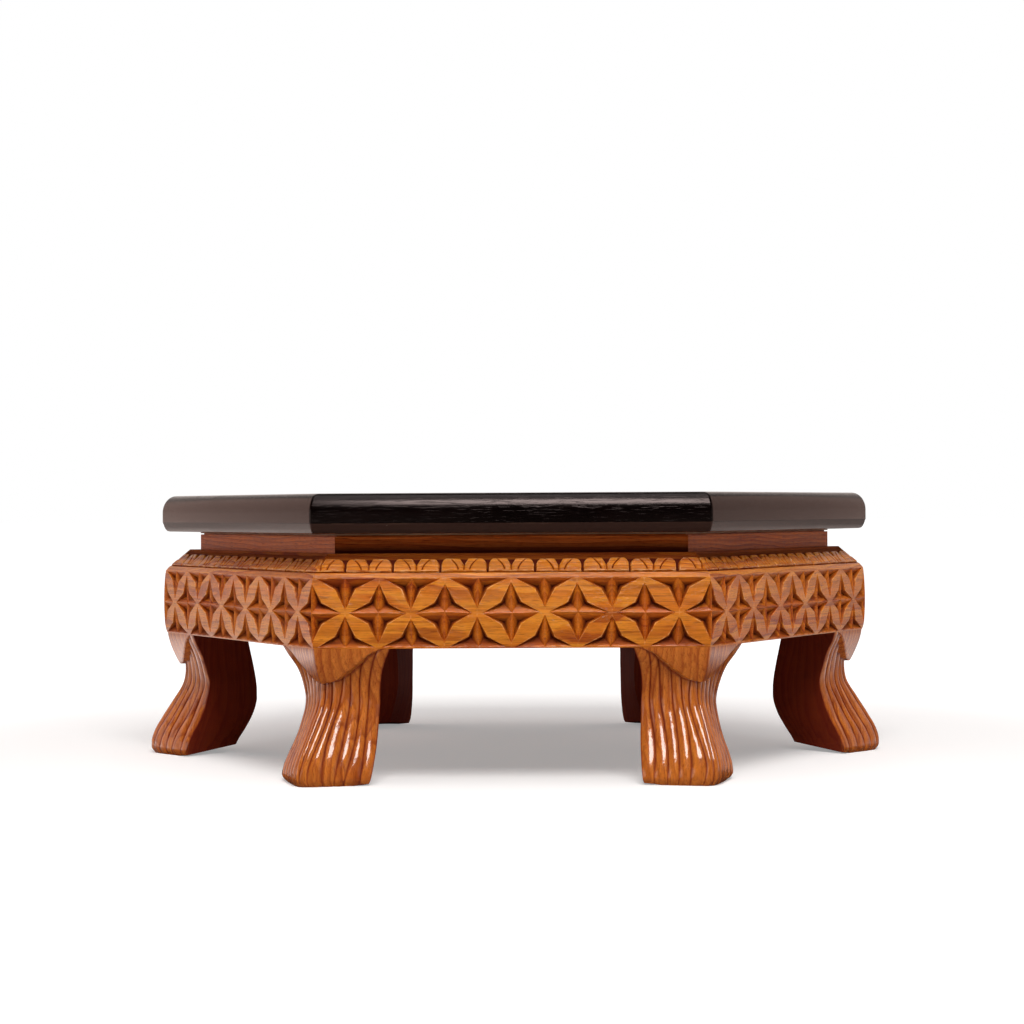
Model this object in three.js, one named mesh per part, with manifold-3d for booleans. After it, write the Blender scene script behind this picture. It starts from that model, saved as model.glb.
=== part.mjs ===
// A six-sided low table: a black top slab on a recessed neck, a chip-carved apron and
// six carved legs. Millimetres, +Z up, origin on the floor under the middle of the table,
// one facet facing -Y and two corners on the X axis.
import * as THREE from 'three';
import { mergeVertices } from 'three/addons/utils/BufferGeometryUtils.js';
import Module from 'manifold-3d';

const wasm = await Module();
wasm.setup();

// Plan of the table
const SIDE_COUNT = 6;
const SIDE_LENGTH = 250;

// Heights above the floor
const LEG_HEIGHT = 85.6;
const APRON_HEIGHT = 44.4;
const SHOULDER_RISE = 14.8;
const NECK_REVEAL = 10.6;
const NECK_REBATE_HEIGHT = 0.9;
const PANEL_THICKNESS = 1.2;
const SLAB_THICKNESS = 25.3;

// Clearances between pieces that are cut or turned to each other
const GLUE_GAP = 0.3;
const SCREW_CLEARANCE = 0.4;
const CUT_OVERRUN = 4;
const WELD_DISTANCE = 0.001;

// Apron boards and their carving
const APRON_THICKNESS = 22.6;
const SHOULDER_DEPTH = 16.2;
const CARVING_FOOT_MARGIN = 0.9;
const CARVING_TOP_MARGIN = 0.5;
const CHIP_DEPTH = 5;
const STAR_CENTRE_DEPTH = 0.8;
const CELLS_PER_SIDE = 6;
const petalCornerShare = 0.3;

// Petal row on the shoulder
const SCALE_RELIEF = 1.3;
const SCALE_EMBED = 1.5;
const SCALES_PER_SIDE = 8;
const scaleWidthShare = 0.9;
const scaleRowDepthShare = 0.6;
const scaleFootShare = 0.25;
const scaleTopShare = 0.8;
const scaleOutlineShares = [
  [-0.5, 0], [0.5, 0], [0.5, 0.4], [0.3, 1], [0.06, 0.97],
  [0, 0.5], [-0.06, 0.97], [-0.3, 1], [-0.5, 0.4],
];

// Neck boards
const NECK_THICKNESS = 12;
const NECK_REBATE_DEPTH = 2;

// Top slab and the thin sheet under it
const SLAB_ROUND_HEIGHT = 12;
const SLAB_ROUND_DEPTH = 8.6;
const SLAB_BEVEL_HEIGHT = 6.4;
const SLAB_BEVEL_DEPTH = 3.1;
const SLAB_ROUND_STEPS = 4;

// Legs: cut from a square blank, all offsets from the apron's corner are shares of its side
const LEG_BLANK = 60;
const FLUTE_DEPTH = 1.4;
const FLUTES_PER_FACE = 6;
const cornerRoundShare = 0.15;
// height, outer corner outwards, side corners inwards, half width, inner corner inwards
const legSectionShares = [
  [0, 0.108, 0.342, 0.535, 0.825],
  [0.035, 0.147, 0.325, 0.572, 0.833],
  [0.093, 0.158, 0.342, 0.583, 0.867],
  [0.187, 0.117, 0.4, 0.57, 0.95],
  [0.304, 0.022, 0.483, 0.537, 1.042],
  [0.444, -0.103, 0.55, 0.505, 1.1],
  [0.591, -0.225, 0.585, 0.488, 1.092],
  [0.713, -0.25, 0.55, 0.506, 1.063],
  [0.841, -0.225, 0.5, 0.561, 1.025],
  [0.935, -0.183, 0.445, 0.64, 0.997],
  [1, -0.15, 0.425, 0.698, 0.98],
];
const HEEL_LIFT = 5.5;
const heelStartShare = 0.25;
const heelEndShare = 0.85;

// Pendant shield at the top of each leg
const SHIELD_DROP = 22.3;
const SHIELD_LEAN = 9;
const SHIELD_REACH = 43;
const SHIELD_THICKNESS = 9;
// drop, reach along each facet
const shieldOutlineShares = [
  [0, 1], [0.1, 0.86], [0.22, 0.75], [0.4, 0.62], [0.6, 0.47], [0.8, 0.31], [0.93, 0.19], [1, 0.07],
];

// Dowels between the legs and the aprons
const DOWEL_RADIUS = 3;
const DOWEL_IN_LEG = 14;
const DOWEL_IN_APRON = 15;
const DOWEL_ALONG = 16;
const DOWEL_INSET = 17;
const DOWEL_FACETS = 8;

// Glue blocks in the corners of the neck
const BLOCK_HEIGHT = 30;
const BLOCK_LEG = 44;

// Screws
const SCREW_FACETS = 8;
const SCREW_HEAD_RADIUS = 4.5;
const SCREW_HEAD_HEIGHT = 3;
const SCREW_SHANK_RADIUS = 2.2;
const SCREW_POINT_LENGTH = 5;
const SCREW_END_CLEARANCE = 1;
const LEG_SCREW_LENGTH = 60;
const TOP_SCREW_LENGTH = 28;
const legScrewShare = 0.43;

// Cleats that hold the slab down
const CLEAT_LENGTH = 90;
const CLEAT_WIDTH = 16;
const CLEAT_HEIGHT = 16;
const CLEAT_END_MARGIN = 17;

// Worked out from the sizes above
const SIDE_ANGLE = 2 * Math.PI / SIDE_COUNT;
const HALF_ANGLE = SIDE_ANGLE / 2;
const HALF_SIDE = SIDE_LENGTH / 2;
const CORNER_RADIUS = HALF_SIDE / Math.sin(HALF_ANGLE);
const FACET_RADIUS = HALF_SIDE / Math.tan(HALF_ANGLE);
const APRON_FOOT = LEG_HEIGHT;
const APRON_SHOULDER = APRON_FOOT + APRON_HEIGHT;
const LEDGE_HEIGHT = APRON_SHOULDER + SHOULDER_RISE;
const NECK_REBATE_FOOT = LEDGE_HEIGHT + NECK_REVEAL;
const NECK_TOP = NECK_REBATE_FOOT + NECK_REBATE_HEIGHT;
const SLAB_FOOT = NECK_TOP + PANEL_THICKNESS;
const SLAB_TOP = SLAB_FOOT + SLAB_THICKNESS;
const NECK_INSET = APRON_THICKNESS + GLUE_GAP;
const BLOCK_INSET = NECK_INSET + NECK_THICKNESS + GLUE_GAP;
const BLOCK_TOP = APRON_FOOT + BLOCK_HEIGHT;

const SIDE_NAMES = ['front', 'front_right', 'rear_right', 'rear', 'rear_left', 'front_left'];
const CORNER_NAMES = ['right', 'rear_right', 'rear_left', 'left', 'front_left', 'front_right'];
const CLEAT_SIDES = ['front', 'rear_right', 'rear_left'];
const BOARD_NAMES = ['front', 'middle', 'rear'];

// Materials
const carvedTeak = new THREE.MeshStandardMaterial({ color: 0xc0702e, roughness: 0.35 });
const legTeak = new THREE.MeshStandardMaterial({ color: 0xb5652a, roughness: 0.25 });
const plainTeak = new THREE.MeshStandardMaterial({ color: 0x8a5434, roughness: 0.7 });
const blackWood = new THREE.MeshStandardMaterial({ color: 0x241b19, roughness: 0.4 });
const plywood = new THREE.MeshStandardMaterial({ color: 0x9a6238, roughness: 0.8 });
const softwood = new THREE.MeshStandardMaterial({ color: 0xc9a070, roughness: 0.8 });
const beech = new THREE.MeshStandardMaterial({ color: 0xd8b48a, roughness: 0.7 });
const steel = new THREE.MeshStandardMaterial({ color: 0xb9b4a6, roughness: 0.35, metalness: 1 });

const table = new THREE.Group();

// A closed geometry as a solid that can be cut and joined
function toSolid(geometry) {
  const bare = geometry.index ? geometry.toNonIndexed() : geometry.clone();
  bare.deleteAttribute('normal');
  bare.deleteAttribute('uv');
  const merged = mergeVertices(bare, WELD_DISTANCE);
  const corners = merged.index.array;
  const faces = [];
  for (let i = 0; i < corners.length; i += 3) {
    const face = corners.slice(i, i + 3);
    if (new Set(face).size === face.length) faces.push(...face);
  }
  return new wasm.Manifold(new wasm.Mesh({
    numProp: 3,
    vertProperties: new Float32Array(merged.attributes.position.array),
    triVerts: new Uint32Array(faces),
  }));
}

function toGeometry(solid) {
  const mesh = solid.getMesh();
  const geometry = new THREE.BufferGeometry();
  geometry.setAttribute('position', new THREE.BufferAttribute(mesh.vertProperties, 3));
  geometry.setIndex(new THREE.BufferAttribute(mesh.triVerts, 1));
  geometry.computeVertexNormals();
  return geometry;
}

function addPiece(name, geometry, material, angle = 0) {
  const mesh = new THREE.Mesh(geometry, material);
  mesh.name = name;
  mesh.rotation.z = angle;
  table.add(mesh);
}

function geometryFrom(triangles) {
  const geometry = new THREE.BufferGeometry().setFromPoints(triangles.flat());
  geometry.computeVertexNormals();
  return geometry;
}

// Triangles of a ring of quads from one outline to the next
function band(lower, upper) {
  return lower.flatMap((point, i) => {
    const j = (i + 1) % lower.length;
    return [[point, lower[j], upper[j]], [point, upper[j], upper[i]]];
  });
}

// Triangles of a flat outline, seen anticlockwise through flatten
function cap(outline, flatten) {
  const faces = THREE.ShapeUtils.triangulateShape(outline.map(flatten), []);
  return faces.map((face) => face.map((i) => outline[i]));
}

// A closed body through outlines that follow each other along one axis
function loft(outlines, flatten) {
  const sides = outlines.slice(1).flatMap((outline, i) => band(outlines[i], outline));
  const start = cap(outlines[0], flatten).map((face) => face.reverse());
  const end = cap(outlines[outlines.length - 1], flatten);
  return geometryFrom([...sides, ...start, ...end]);
}

const seenFromAbove = (point) => new THREE.Vector2(point.x, point.y);
const seenFromRight = (point) => new THREE.Vector2(point.y, point.z);

// Half the length of a mitred board at a depth behind its facet
function halfLength(inset) {
  return HALF_SIDE - (inset + GLUE_GAP / 2 / Math.sin(HALF_ANGLE)) * Math.tan(HALF_ANGLE);
}

// A point of the front facet: along it, depth behind it and height
function facetPoint(along, inset, height) {
  return new THREE.Vector3(along, inset - FACET_RADIUS, height);
}

// A bar along the front facet with mitred ends, from a profile of [inset, height]
function mitredBar(profile) {
  const end = (side) => profile.map(([inset, height]) => (
    facetPoint(side * halfLength(inset), inset, height)
  ));
  return loft([end(-1), end(1)], seenFromRight);
}

// A flat hexagon outline at a depth behind the facets
function hexagon(inset, height) {
  const radius = CORNER_RADIUS - inset / Math.cos(HALF_ANGLE);
  return Array.from({ length: SIDE_COUNT }, (_, i) => new THREE.Vector3(
    radius * Math.cos(i * SIDE_ANGLE),
    radius * Math.sin(i * SIDE_ANGLE),
    height,
  ));
}

// An upright round bar whose flats, not its corners, lie at the radius
function roundBar(x, y, bottom, top, radius, facets) {
  const cornerRadius = radius / Math.cos(Math.PI / facets);
  const bar = new THREE.CylinderGeometry(cornerRadius, cornerRadius, top - bottom, facets);
  return bar.rotateX(Math.PI / 2).translate(x, y, (top + bottom) / 2);
}

// A countersunk wood screw with its head's face at the origin and its point at -Z
function screw(length) {
  const profile = [
    [0, -length],
    [SCREW_SHANK_RADIUS, SCREW_POINT_LENGTH - length],
    [SCREW_SHANK_RADIUS, -SCREW_HEAD_HEIGHT],
    [SCREW_HEAD_RADIUS, 0],
    [0, 0],
  ].map(([radius, height]) => new THREE.Vector2(radius, height));
  return new THREE.LatheGeometry(profile, SCREW_FACETS).rotateX(Math.PI / 2);
}

// The hole that a screw sits in, with its head's face at the origin
function screwHole(length) {
  const shank = SCREW_SHANK_RADIUS + SCREW_CLEARANCE;
  const head = SCREW_HEAD_RADIUS + SCREW_CLEARANCE;
  const profile = [
    [0, -length - SCREW_END_CLEARANCE],
    [shank, -length - SCREW_END_CLEARANCE],
    [shank, -SCREW_HEAD_HEIGHT - SCREW_CLEARANCE],
    [head, -SCREW_CLEARANCE],
    [head, CUT_OVERRUN],
    [0, CUT_OVERRUN],
  ].map(([radius, height]) => new THREE.Vector2(radius, height));
  return new THREE.LatheGeometry(profile, SCREW_FACETS).rotateX(Math.PI / 2);
}

function cut(geometry, cutters) {
  const solid = cutters.reduce((rest, cutter) => rest.subtract(toSolid(cutter)), toSolid(geometry));
  return toGeometry(solid);
}

// Chip-carved band: each cell has four flat petals that meet at its middle, and chips
// between them that fall from ridges to a pit beside each petal's side corner.
function carvedCell(left, bottom, width, height, starDepths) {
  const middle = [left + width / 2, bottom + height / 2];
  const at = (share, depth) => facetPoint(
    middle[0] + share[0] * width / 2,
    depth,
    middle[1] + share[1] * height / 2,
  );
  const far = 1 - petalCornerShare;
  return [[1, 1], [-1, 1], [-1, -1], [1, -1]].flatMap(([h, v]) => {
    const centre = at([0, 0], 0);
    const tip = at([h, v], 0);
    const sideStar = at([h, 0], h > 0 ? starDepths.right : starDepths.left);
    const endStar = at([0, v], 0);
    const low = at([h * far, v * petalCornerShare], 0);
    const lowPit = at([h * far, v * petalCornerShare], CHIP_DEPTH);
    const high = at([h * petalCornerShare, v * far], 0);
    const highPit = at([h * petalCornerShare, v * far], CHIP_DEPTH);
    const faces = [
      [centre, low, tip], [centre, tip, high],
      [low, centre, lowPit], [tip, low, lowPit],
      [centre, sideStar, lowPit], [sideStar, tip, lowPit],
      [high, tip, highPit], [centre, high, highPit],
      [tip, endStar, highPit], [endStar, centre, highPit],
    ];
    return h * v > 0 ? faces : faces.map((face) => [face[0], face[2], face[1]]);
  });
}

// Triangles between a row of points and the two ends of a plain edge
function fan(start, end, row) {
  const spokes = row.slice(1).map((point, i) => [start, point, row[i]]);
  return [...spokes, [start, end, row[row.length - 1]]];
}

// The apron board with its chips, before the petal row is added
function carvedBoard() {
  const half = halfLength(0);
  const width = 2 * half / CELLS_PER_SIDE;
  const bottom = APRON_FOOT + CARVING_FOOT_MARGIN;
  const top = APRON_SHOULDER - CARVING_TOP_MARGIN;
  const starDepth = (i) => (i === 0 || i === CELLS_PER_SIDE ? 0 : STAR_CENTRE_DEPTH);
  const cells = Array.from({ length: CELLS_PER_SIDE }, (_, i) => carvedCell(
    i * width - half,
    bottom,
    width,
    top - bottom,
    { left: starDepth(i), right: starDepth(i + 1) },
  )).flat();
  const row = (height) => Array.from({ length: 2 * CELLS_PER_SIDE + 1 }, (_, i) => (
    facetPoint(i * width / 2 - half, 0, height)
  ));
  const margins = [
    ...fan(facetPoint(-half, 0, APRON_FOOT), facetPoint(half, 0, APRON_FOOT), row(bottom)),
    ...fan(
      facetPoint(half, 0, APRON_SHOULDER),
      facetPoint(-half, 0, APRON_SHOULDER),
      row(top).reverse(),
    ),
  ];
  const back = [
    [0, APRON_FOOT], [APRON_THICKNESS, APRON_FOOT], [APRON_THICKNESS, LEDGE_HEIGHT],
    [SHOULDER_DEPTH, LEDGE_HEIGHT], [0, APRON_SHOULDER],
  ];
  const end = (side) => back.map(([inset, height]) => (
    facetPoint(side * halfLength(inset), inset, height)
  ));
  const left = end(-1);
  const right = end(1);
  const shell = band(left, right).slice(0, 2 * (back.length - 1));
  const face = (side) => [top, (top + bottom) / 2, bottom].map((height) => (
    facetPoint(side * half, 0, height)
  ));
  const ends = [
    ...cap([...left, ...face(-1)], seenFromRight).map((triangle) => triangle.reverse()),
    ...cap([...right, ...face(1)], seenFromRight),
  ];
  return geometryFrom([...cells, ...margins, ...shell, ...ends]);
}

// One half-round petal of the shoulder row, lying on the slope
function shoulderScale(centre, pitch) {
  const slope = Math.hypot(SHOULDER_DEPTH, SHOULDER_RISE);
  const foot = slope * scaleFootShare;
  const height = slope * scaleTopShare - foot;
  const width = pitch * scaleWidthShare;
  const outline = scaleOutlineShares.map(([across, up]) => new THREE.Vector2(
    across * width,
    foot + up * height,
  ));
  const body = new THREE.ExtrudeGeometry(new THREE.Shape(outline), {
    depth: SCALE_EMBED + SCALE_RELIEF,
    bevelEnabled: false,
  });
  const along = new THREE.Vector3(1, 0, 0);
  const up = new THREE.Vector3(0, SHOULDER_DEPTH / slope, SHOULDER_RISE / slope);
  const out = new THREE.Vector3().crossVectors(along, up);
  const place = new THREE.Matrix4().makeBasis(along, up, out);
  const seat = facetPoint(centre, 0, APRON_SHOULDER).addScaledVector(out, -SCALE_EMBED);
  return body.applyMatrix4(place.setPosition(seat));
}

// Solid wedge between the two mitre planes of a facet, to trim what reaches past them
function mitreWedge() {
  const low = APRON_FOOT - CUT_OVERRUN;
  const high = LEDGE_HEIGHT + CUT_OVERRUN;
  return mitredBar([
    [-CUT_OVERRUN, low], [APRON_THICKNESS, low], [APRON_THICKNESS, high], [-CUT_OVERRUN, high],
  ]);
}

function apronBoard() {
  const rowEnd = halfLength(scaleRowDepthShare * SHOULDER_DEPTH);
  const pitch = 2 * rowEnd / SCALES_PER_SIDE;
  const wedge = toSolid(mitreWedge());
  let board = toSolid(carvedBoard());
  for (let i = 0; i <= SCALES_PER_SIDE; i += 1) {
    board = board.add(toSolid(shoulderScale(i * pitch - rowEnd, pitch)).intersect(wedge));
  }
  const holes = [-1, 1].map((side) => roundBar(
    side * (HALF_SIDE - DOWEL_INSET * Math.tan(HALF_ANGLE) - DOWEL_ALONG),
    DOWEL_INSET - FACET_RADIUS,
    APRON_FOOT - CUT_OVERRUN,
    APRON_FOOT + DOWEL_IN_APRON + GLUE_GAP,
    DOWEL_RADIUS + GLUE_GAP,
    DOWEL_FACETS,
  ));
  holes.forEach((hole) => {
    board = board.subtract(toSolid(hole));
  });
  return toGeometry(board);
}

function neckBoard() {
  const back = NECK_INSET + NECK_THICKNESS;
  return mitredBar([
    [NECK_INSET, APRON_FOOT], [back, APRON_FOOT], [back, NECK_TOP],
    [NECK_INSET + NECK_REBATE_DEPTH, NECK_TOP], [NECK_INSET + NECK_REBATE_DEPTH, NECK_REBATE_FOOT],
    [NECK_INSET, NECK_REBATE_FOOT],
  ]);
}

// A point near the corner on +X, by depth behind one of its two facets and length from
// the mitre at that depth
function cornerPoint(side, along, inset, height) {
  return new THREE.Vector3(
    CORNER_RADIUS - inset / Math.cos(HALF_ANGLE) - along * Math.sin(HALF_ANGLE),
    side * along * Math.cos(HALF_ANGLE),
    height,
  );
}

// One level of the leg: fluted outer faces round a softened corner, plain inner faces
function legSection([heightShare, outer, side, half, inner]) {
  const height = heightShare * LEG_HEIGHT;
  const sideRadius = CORNER_RADIUS - side * LEG_BLANK;
  const rise = (outer + side) * LEG_BLANK / (1 - cornerRoundShare);
  const halfWidth = half * LEG_BLANK;
  const outline = [new THREE.Vector3(CORNER_RADIUS - inner * LEG_BLANK, 0, height)];
  const steps = 4 * FLUTES_PER_FACE;
  for (let i = 0; i <= steps; i += 1) {
    const across = 2 * i / steps - 1;
    const bend = Math.hypot(across, cornerRoundShare);
    const radius = sideRadius + rise * (Math.hypot(1, cornerRoundShare) - bend);
    const fall = Math.atan2(rise * across / bend, halfWidth);
    const sink = i % 2 === 1 ? FLUTE_DEPTH : 0;
    outline.push(new THREE.Vector3(
      radius - sink * Math.cos(fall),
      halfWidth * across - sink * Math.sin(fall),
      height,
    ));
  }
  return outline;
}

// The pendant shield: a leaning chevron that wraps the corner and ends in a round tip
function shield() {
  const outlines = shieldOutlineShares.map(([dropShare, reachShare]) => {
    const height = LEG_HEIGHT - dropShare * SHIELD_DROP;
    const face = dropShare * SHIELD_LEAN;
    const reach = reachShare * SHIELD_REACH;
    const front = [
      cornerPoint(-1, reach, face, height),
      cornerPoint(1, 0, face, height),
      cornerPoint(1, reach, face, height),
    ];
    const inwards = new THREE.Vector3(-SHIELD_THICKNESS, 0, 0);
    const back = front.map((point) => point.clone().add(inwards)).reverse();
    return [...front, ...back];
  });
  return loft(outlines.reverse(), seenFromAbove);
}

// What is planed off under the heel, so that the foot bears on its outer part
function heelCut() {
  const start = CORNER_RADIUS - heelStartShare * LEG_BLANK;
  const end = CORNER_RADIUS - heelEndShare * LEG_BLANK;
  const run = start - end;
  const section = (y) => [
    new THREE.Vector3(start, y, 0),
    new THREE.Vector3(start, y, -CUT_OVERRUN),
    new THREE.Vector3(end - run, y, -CUT_OVERRUN),
    new THREE.Vector3(end - run, y, 2 * HEEL_LIFT),
  ];
  const flatten = (point) => new THREE.Vector2(-point.x, point.z);
  return loft([section(-LEG_BLANK), section(LEG_BLANK)], flatten);
}

function legScrewRadius() {
  const outer = CORNER_RADIUS - BLOCK_INSET / Math.cos(HALF_ANGLE);
  return outer - legScrewShare * BLOCK_LEG * Math.sin(HALF_ANGLE);
}

function leg() {
  const body = toSolid(loft(legSectionShares.map(legSection), seenFromAbove));
  const dowelHoles = [-1, 1].map((side) => {
    const place = cornerPoint(side, DOWEL_ALONG, DOWEL_INSET, 0);
    return roundBar(
      place.x,
      place.y,
      LEG_HEIGHT - DOWEL_IN_LEG - GLUE_GAP,
      LEG_HEIGHT + CUT_OVERRUN,
      DOWEL_RADIUS + GLUE_GAP,
      DOWEL_FACETS,
    );
  });
  const pilot = screwHole(LEG_SCREW_LENGTH).translate(legScrewRadius(), 0, BLOCK_TOP);
  const shaped = [...dowelHoles, pilot, heelCut()].reduce(
    (rest, cutter) => rest.subtract(toSolid(cutter)),
    body.add(toSolid(shield())),
  );
  return toGeometry(shaped);
}

function dowel(side) {
  const place = cornerPoint(side, DOWEL_ALONG, DOWEL_INSET, 0);
  return roundBar(
    place.x,
    place.y,
    LEG_HEIGHT - DOWEL_IN_LEG,
    LEG_HEIGHT + DOWEL_IN_APRON,
    DOWEL_RADIUS,
    DOWEL_FACETS,
  );
}

function cornerBlock() {
  const outline = (height) => [
    cornerPoint(1, 0, BLOCK_INSET, height),
    cornerPoint(1, BLOCK_LEG, BLOCK_INSET, height),
    cornerPoint(-1, BLOCK_LEG, BLOCK_INSET, height),
  ];
  const block = loft([outline(APRON_FOOT), outline(BLOCK_TOP)], seenFromAbove);
  return cut(block, [screwHole(LEG_SCREW_LENGTH).translate(legScrewRadius(), 0, BLOCK_TOP)]);
}

// Places of the two screws of a cleat, in the front facet's own position
function cleatScrewPlaces() {
  const y = BLOCK_INSET + CLEAT_WIDTH / 2 - FACET_RADIUS;
  return [-1, 1].map((side) => new THREE.Vector3(
    side * (CLEAT_LENGTH / 2 - CLEAT_END_MARGIN),
    y,
    NECK_TOP - CLEAT_HEIGHT,
  ));
}

// Turned over, so that the screw's point is up
function upward(geometry) {
  return geometry.rotateX(Math.PI);
}

function cleatHoles() {
  return cleatScrewPlaces().map((place) => (
    upward(screwHole(TOP_SCREW_LENGTH)).translate(place.x, place.y, place.z)
  ));
}

function cleat() {
  const bar = new THREE.BoxGeometry(CLEAT_LENGTH, CLEAT_WIDTH, CLEAT_HEIGHT);
  bar.translate(0, BLOCK_INSET + CLEAT_WIDTH / 2 - FACET_RADIUS, NECK_TOP - CLEAT_HEIGHT / 2);
  return cut(bar, cleatHoles());
}

const sideAngle = (name) => SIDE_NAMES.indexOf(name) * SIDE_ANGLE;

function allCleatHoles() {
  return CLEAT_SIDES.flatMap((name) => cleatHoles().map((hole) => hole.rotateZ(sideAngle(name))));
}

// Where a board of the slab starts, counted from the front
function boardEdge(i) {
  return (2 * i / BOARD_NAMES.length - 1) * FACET_RADIUS;
}

// The slab's edge from its foot to its flat top, as [inset, height]
function slabProfile() {
  const roundFoot = SLAB_TOP - SLAB_ROUND_HEIGHT;
  const round = Array.from({ length: SLAB_ROUND_STEPS + 1 }, (_, i) => {
    const turn = i / SLAB_ROUND_STEPS * Math.PI / 2;
    return [SLAB_ROUND_DEPTH * (1 - Math.cos(turn)), roundFoot + SLAB_ROUND_HEIGHT * Math.sin(turn)];
  });
  return [[SLAB_BEVEL_DEPTH, SLAB_FOOT], [0, SLAB_FOOT + SLAB_BEVEL_HEIGHT], ...round];
}

// The slab is shaped whole and then parted along its glue lines
function slabBoards() {
  const outlines = slabProfile().map(([inset, height]) => hexagon(inset, height));
  const slab = toSolid(cut(loft(outlines, seenFromAbove), allCleatHoles()));
  return BOARD_NAMES.map((_, i) => {
    const isFirst = i === 0;
    const isLast = i === BOARD_NAMES.length - 1;
    const low = boardEdge(i) + (isFirst ? -CUT_OVERRUN : GLUE_GAP / 2);
    const high = boardEdge(i + 1) + (isLast ? CUT_OVERRUN : -GLUE_GAP / 2);
    const keep = new THREE.BoxGeometry(3 * CORNER_RADIUS, high - low, 3 * SLAB_THICKNESS);
    keep.translate(0, (low + high) / 2, SLAB_FOOT);
    return toGeometry(slab.intersect(toSolid(keep)));
  });
}

function backingPanel() {
  const outlines = [NECK_TOP, SLAB_FOOT].map((height) => hexagon(NECK_INSET, height));
  return cut(loft(outlines, seenFromAbove), allCleatHoles());
}

slabBoards().forEach((board, i) => addPiece(`top_board_${BOARD_NAMES[i]}`, board, blackWood));
addPiece('backing_panel', backingPanel(), plywood);

SIDE_NAMES.forEach((name) => {
  addPiece(`apron_${name}`, apronBoard(), carvedTeak, sideAngle(name));
  addPiece(`neck_board_${name}`, neckBoard(), plainTeak, sideAngle(name));
});

CORNER_NAMES.forEach((name, i) => {
  const angle = i * SIDE_ANGLE;
  addPiece(`leg_${name}`, leg(), legTeak, angle);
  addPiece(`corner_block_${name}`, cornerBlock(), softwood, angle);
  const fixing = screw(LEG_SCREW_LENGTH).translate(legScrewRadius(), 0, BLOCK_TOP);
  addPiece(`leg_screw_${name}`, fixing, steel, angle);
  addPiece(`dowel_${name}_a`, dowel(-1), beech, angle);
  addPiece(`dowel_${name}_b`, dowel(1), beech, angle);
});

CLEAT_SIDES.forEach((name) => {
  addPiece(`top_cleat_${name}`, cleat(), softwood, sideAngle(name));
  cleatScrewPlaces().forEach((place, i) => {
    const fixing = upward(screw(TOP_SCREW_LENGTH)).translate(place.x, place.y, place.z);
    addPiece(`top_screw_${name}_${'ab'[i]}`, fixing, steel, sideAngle(name));
  });
});

export default table;
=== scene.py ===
import math

import bmesh
import bpy
import numpy as np
from mathutils import Matrix, Vector


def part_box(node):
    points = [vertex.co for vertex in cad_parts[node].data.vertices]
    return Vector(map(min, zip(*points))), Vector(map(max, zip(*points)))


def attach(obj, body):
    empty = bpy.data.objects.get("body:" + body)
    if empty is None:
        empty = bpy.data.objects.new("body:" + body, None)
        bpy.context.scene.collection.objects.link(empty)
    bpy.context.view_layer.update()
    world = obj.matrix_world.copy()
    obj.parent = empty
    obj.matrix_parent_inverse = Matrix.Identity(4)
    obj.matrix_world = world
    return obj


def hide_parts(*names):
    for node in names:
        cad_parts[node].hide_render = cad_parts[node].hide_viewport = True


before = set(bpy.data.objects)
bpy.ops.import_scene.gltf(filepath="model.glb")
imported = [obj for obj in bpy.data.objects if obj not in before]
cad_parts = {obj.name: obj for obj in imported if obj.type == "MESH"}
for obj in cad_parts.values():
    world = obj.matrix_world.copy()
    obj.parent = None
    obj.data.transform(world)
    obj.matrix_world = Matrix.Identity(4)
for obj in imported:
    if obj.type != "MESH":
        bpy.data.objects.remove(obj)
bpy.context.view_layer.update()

# Plan of the table, read from the frame
SIDE_COUNT = 6
SIDE_ANGLE = 2 * math.pi / SIDE_COUNT
HALF_ANGLE = SIDE_ANGLE / 2
SIDE_NAMES = ["front", "front_right", "rear_right", "rear", "rear_left", "front_left"]
CORNER_NAMES = ["right", "rear_right", "rear_left", "left", "front_left", "front_right"]
BOARD_NAMES = ["front", "middle", "rear"]

apron_low, apron_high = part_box("apron_front")
slab_low, slab_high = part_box("top_board_middle")
FACET_RADIUS = -apron_low.y
HALF_SIDE = FACET_RADIUS * math.tan(HALF_ANGLE)
CORNER_RADIUS = HALF_SIDE / math.sin(HALF_ANGLE)
APRON_THICKNESS = apron_high.y - apron_low.y
LEG_HEIGHT = apron_low.z
SLAB_FOOT = slab_low.z
SLAB_TOP = slab_high.z
MITRE_GAP = 0.00005
APRON_SEED, LEG_SEED, SLAB_SEED, CAD_SEED = 7, 107, 207, 307
SEED_STEP = 10

# Apron: height of its face, rise and depth of its shoulder, and how its face rolls back
APRON_HEIGHT = 0.0444
SHOULDER_RISE = 0.0148
SHOULDER_DEPTH = 0.0162
SHOULDER_FOOT = LEG_HEIGHT + APRON_HEIGHT
LEDGE_HEIGHT = SHOULDER_FOOT + SHOULDER_RISE
FACE_BULGE = 0.0011
FOOT_ROLL = 0.0009
FOOT_ROLL_HEIGHT = 0.006
TOP_ROLL = 0.0002
TOP_ROLL_HEIGHT = 0.003

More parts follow.
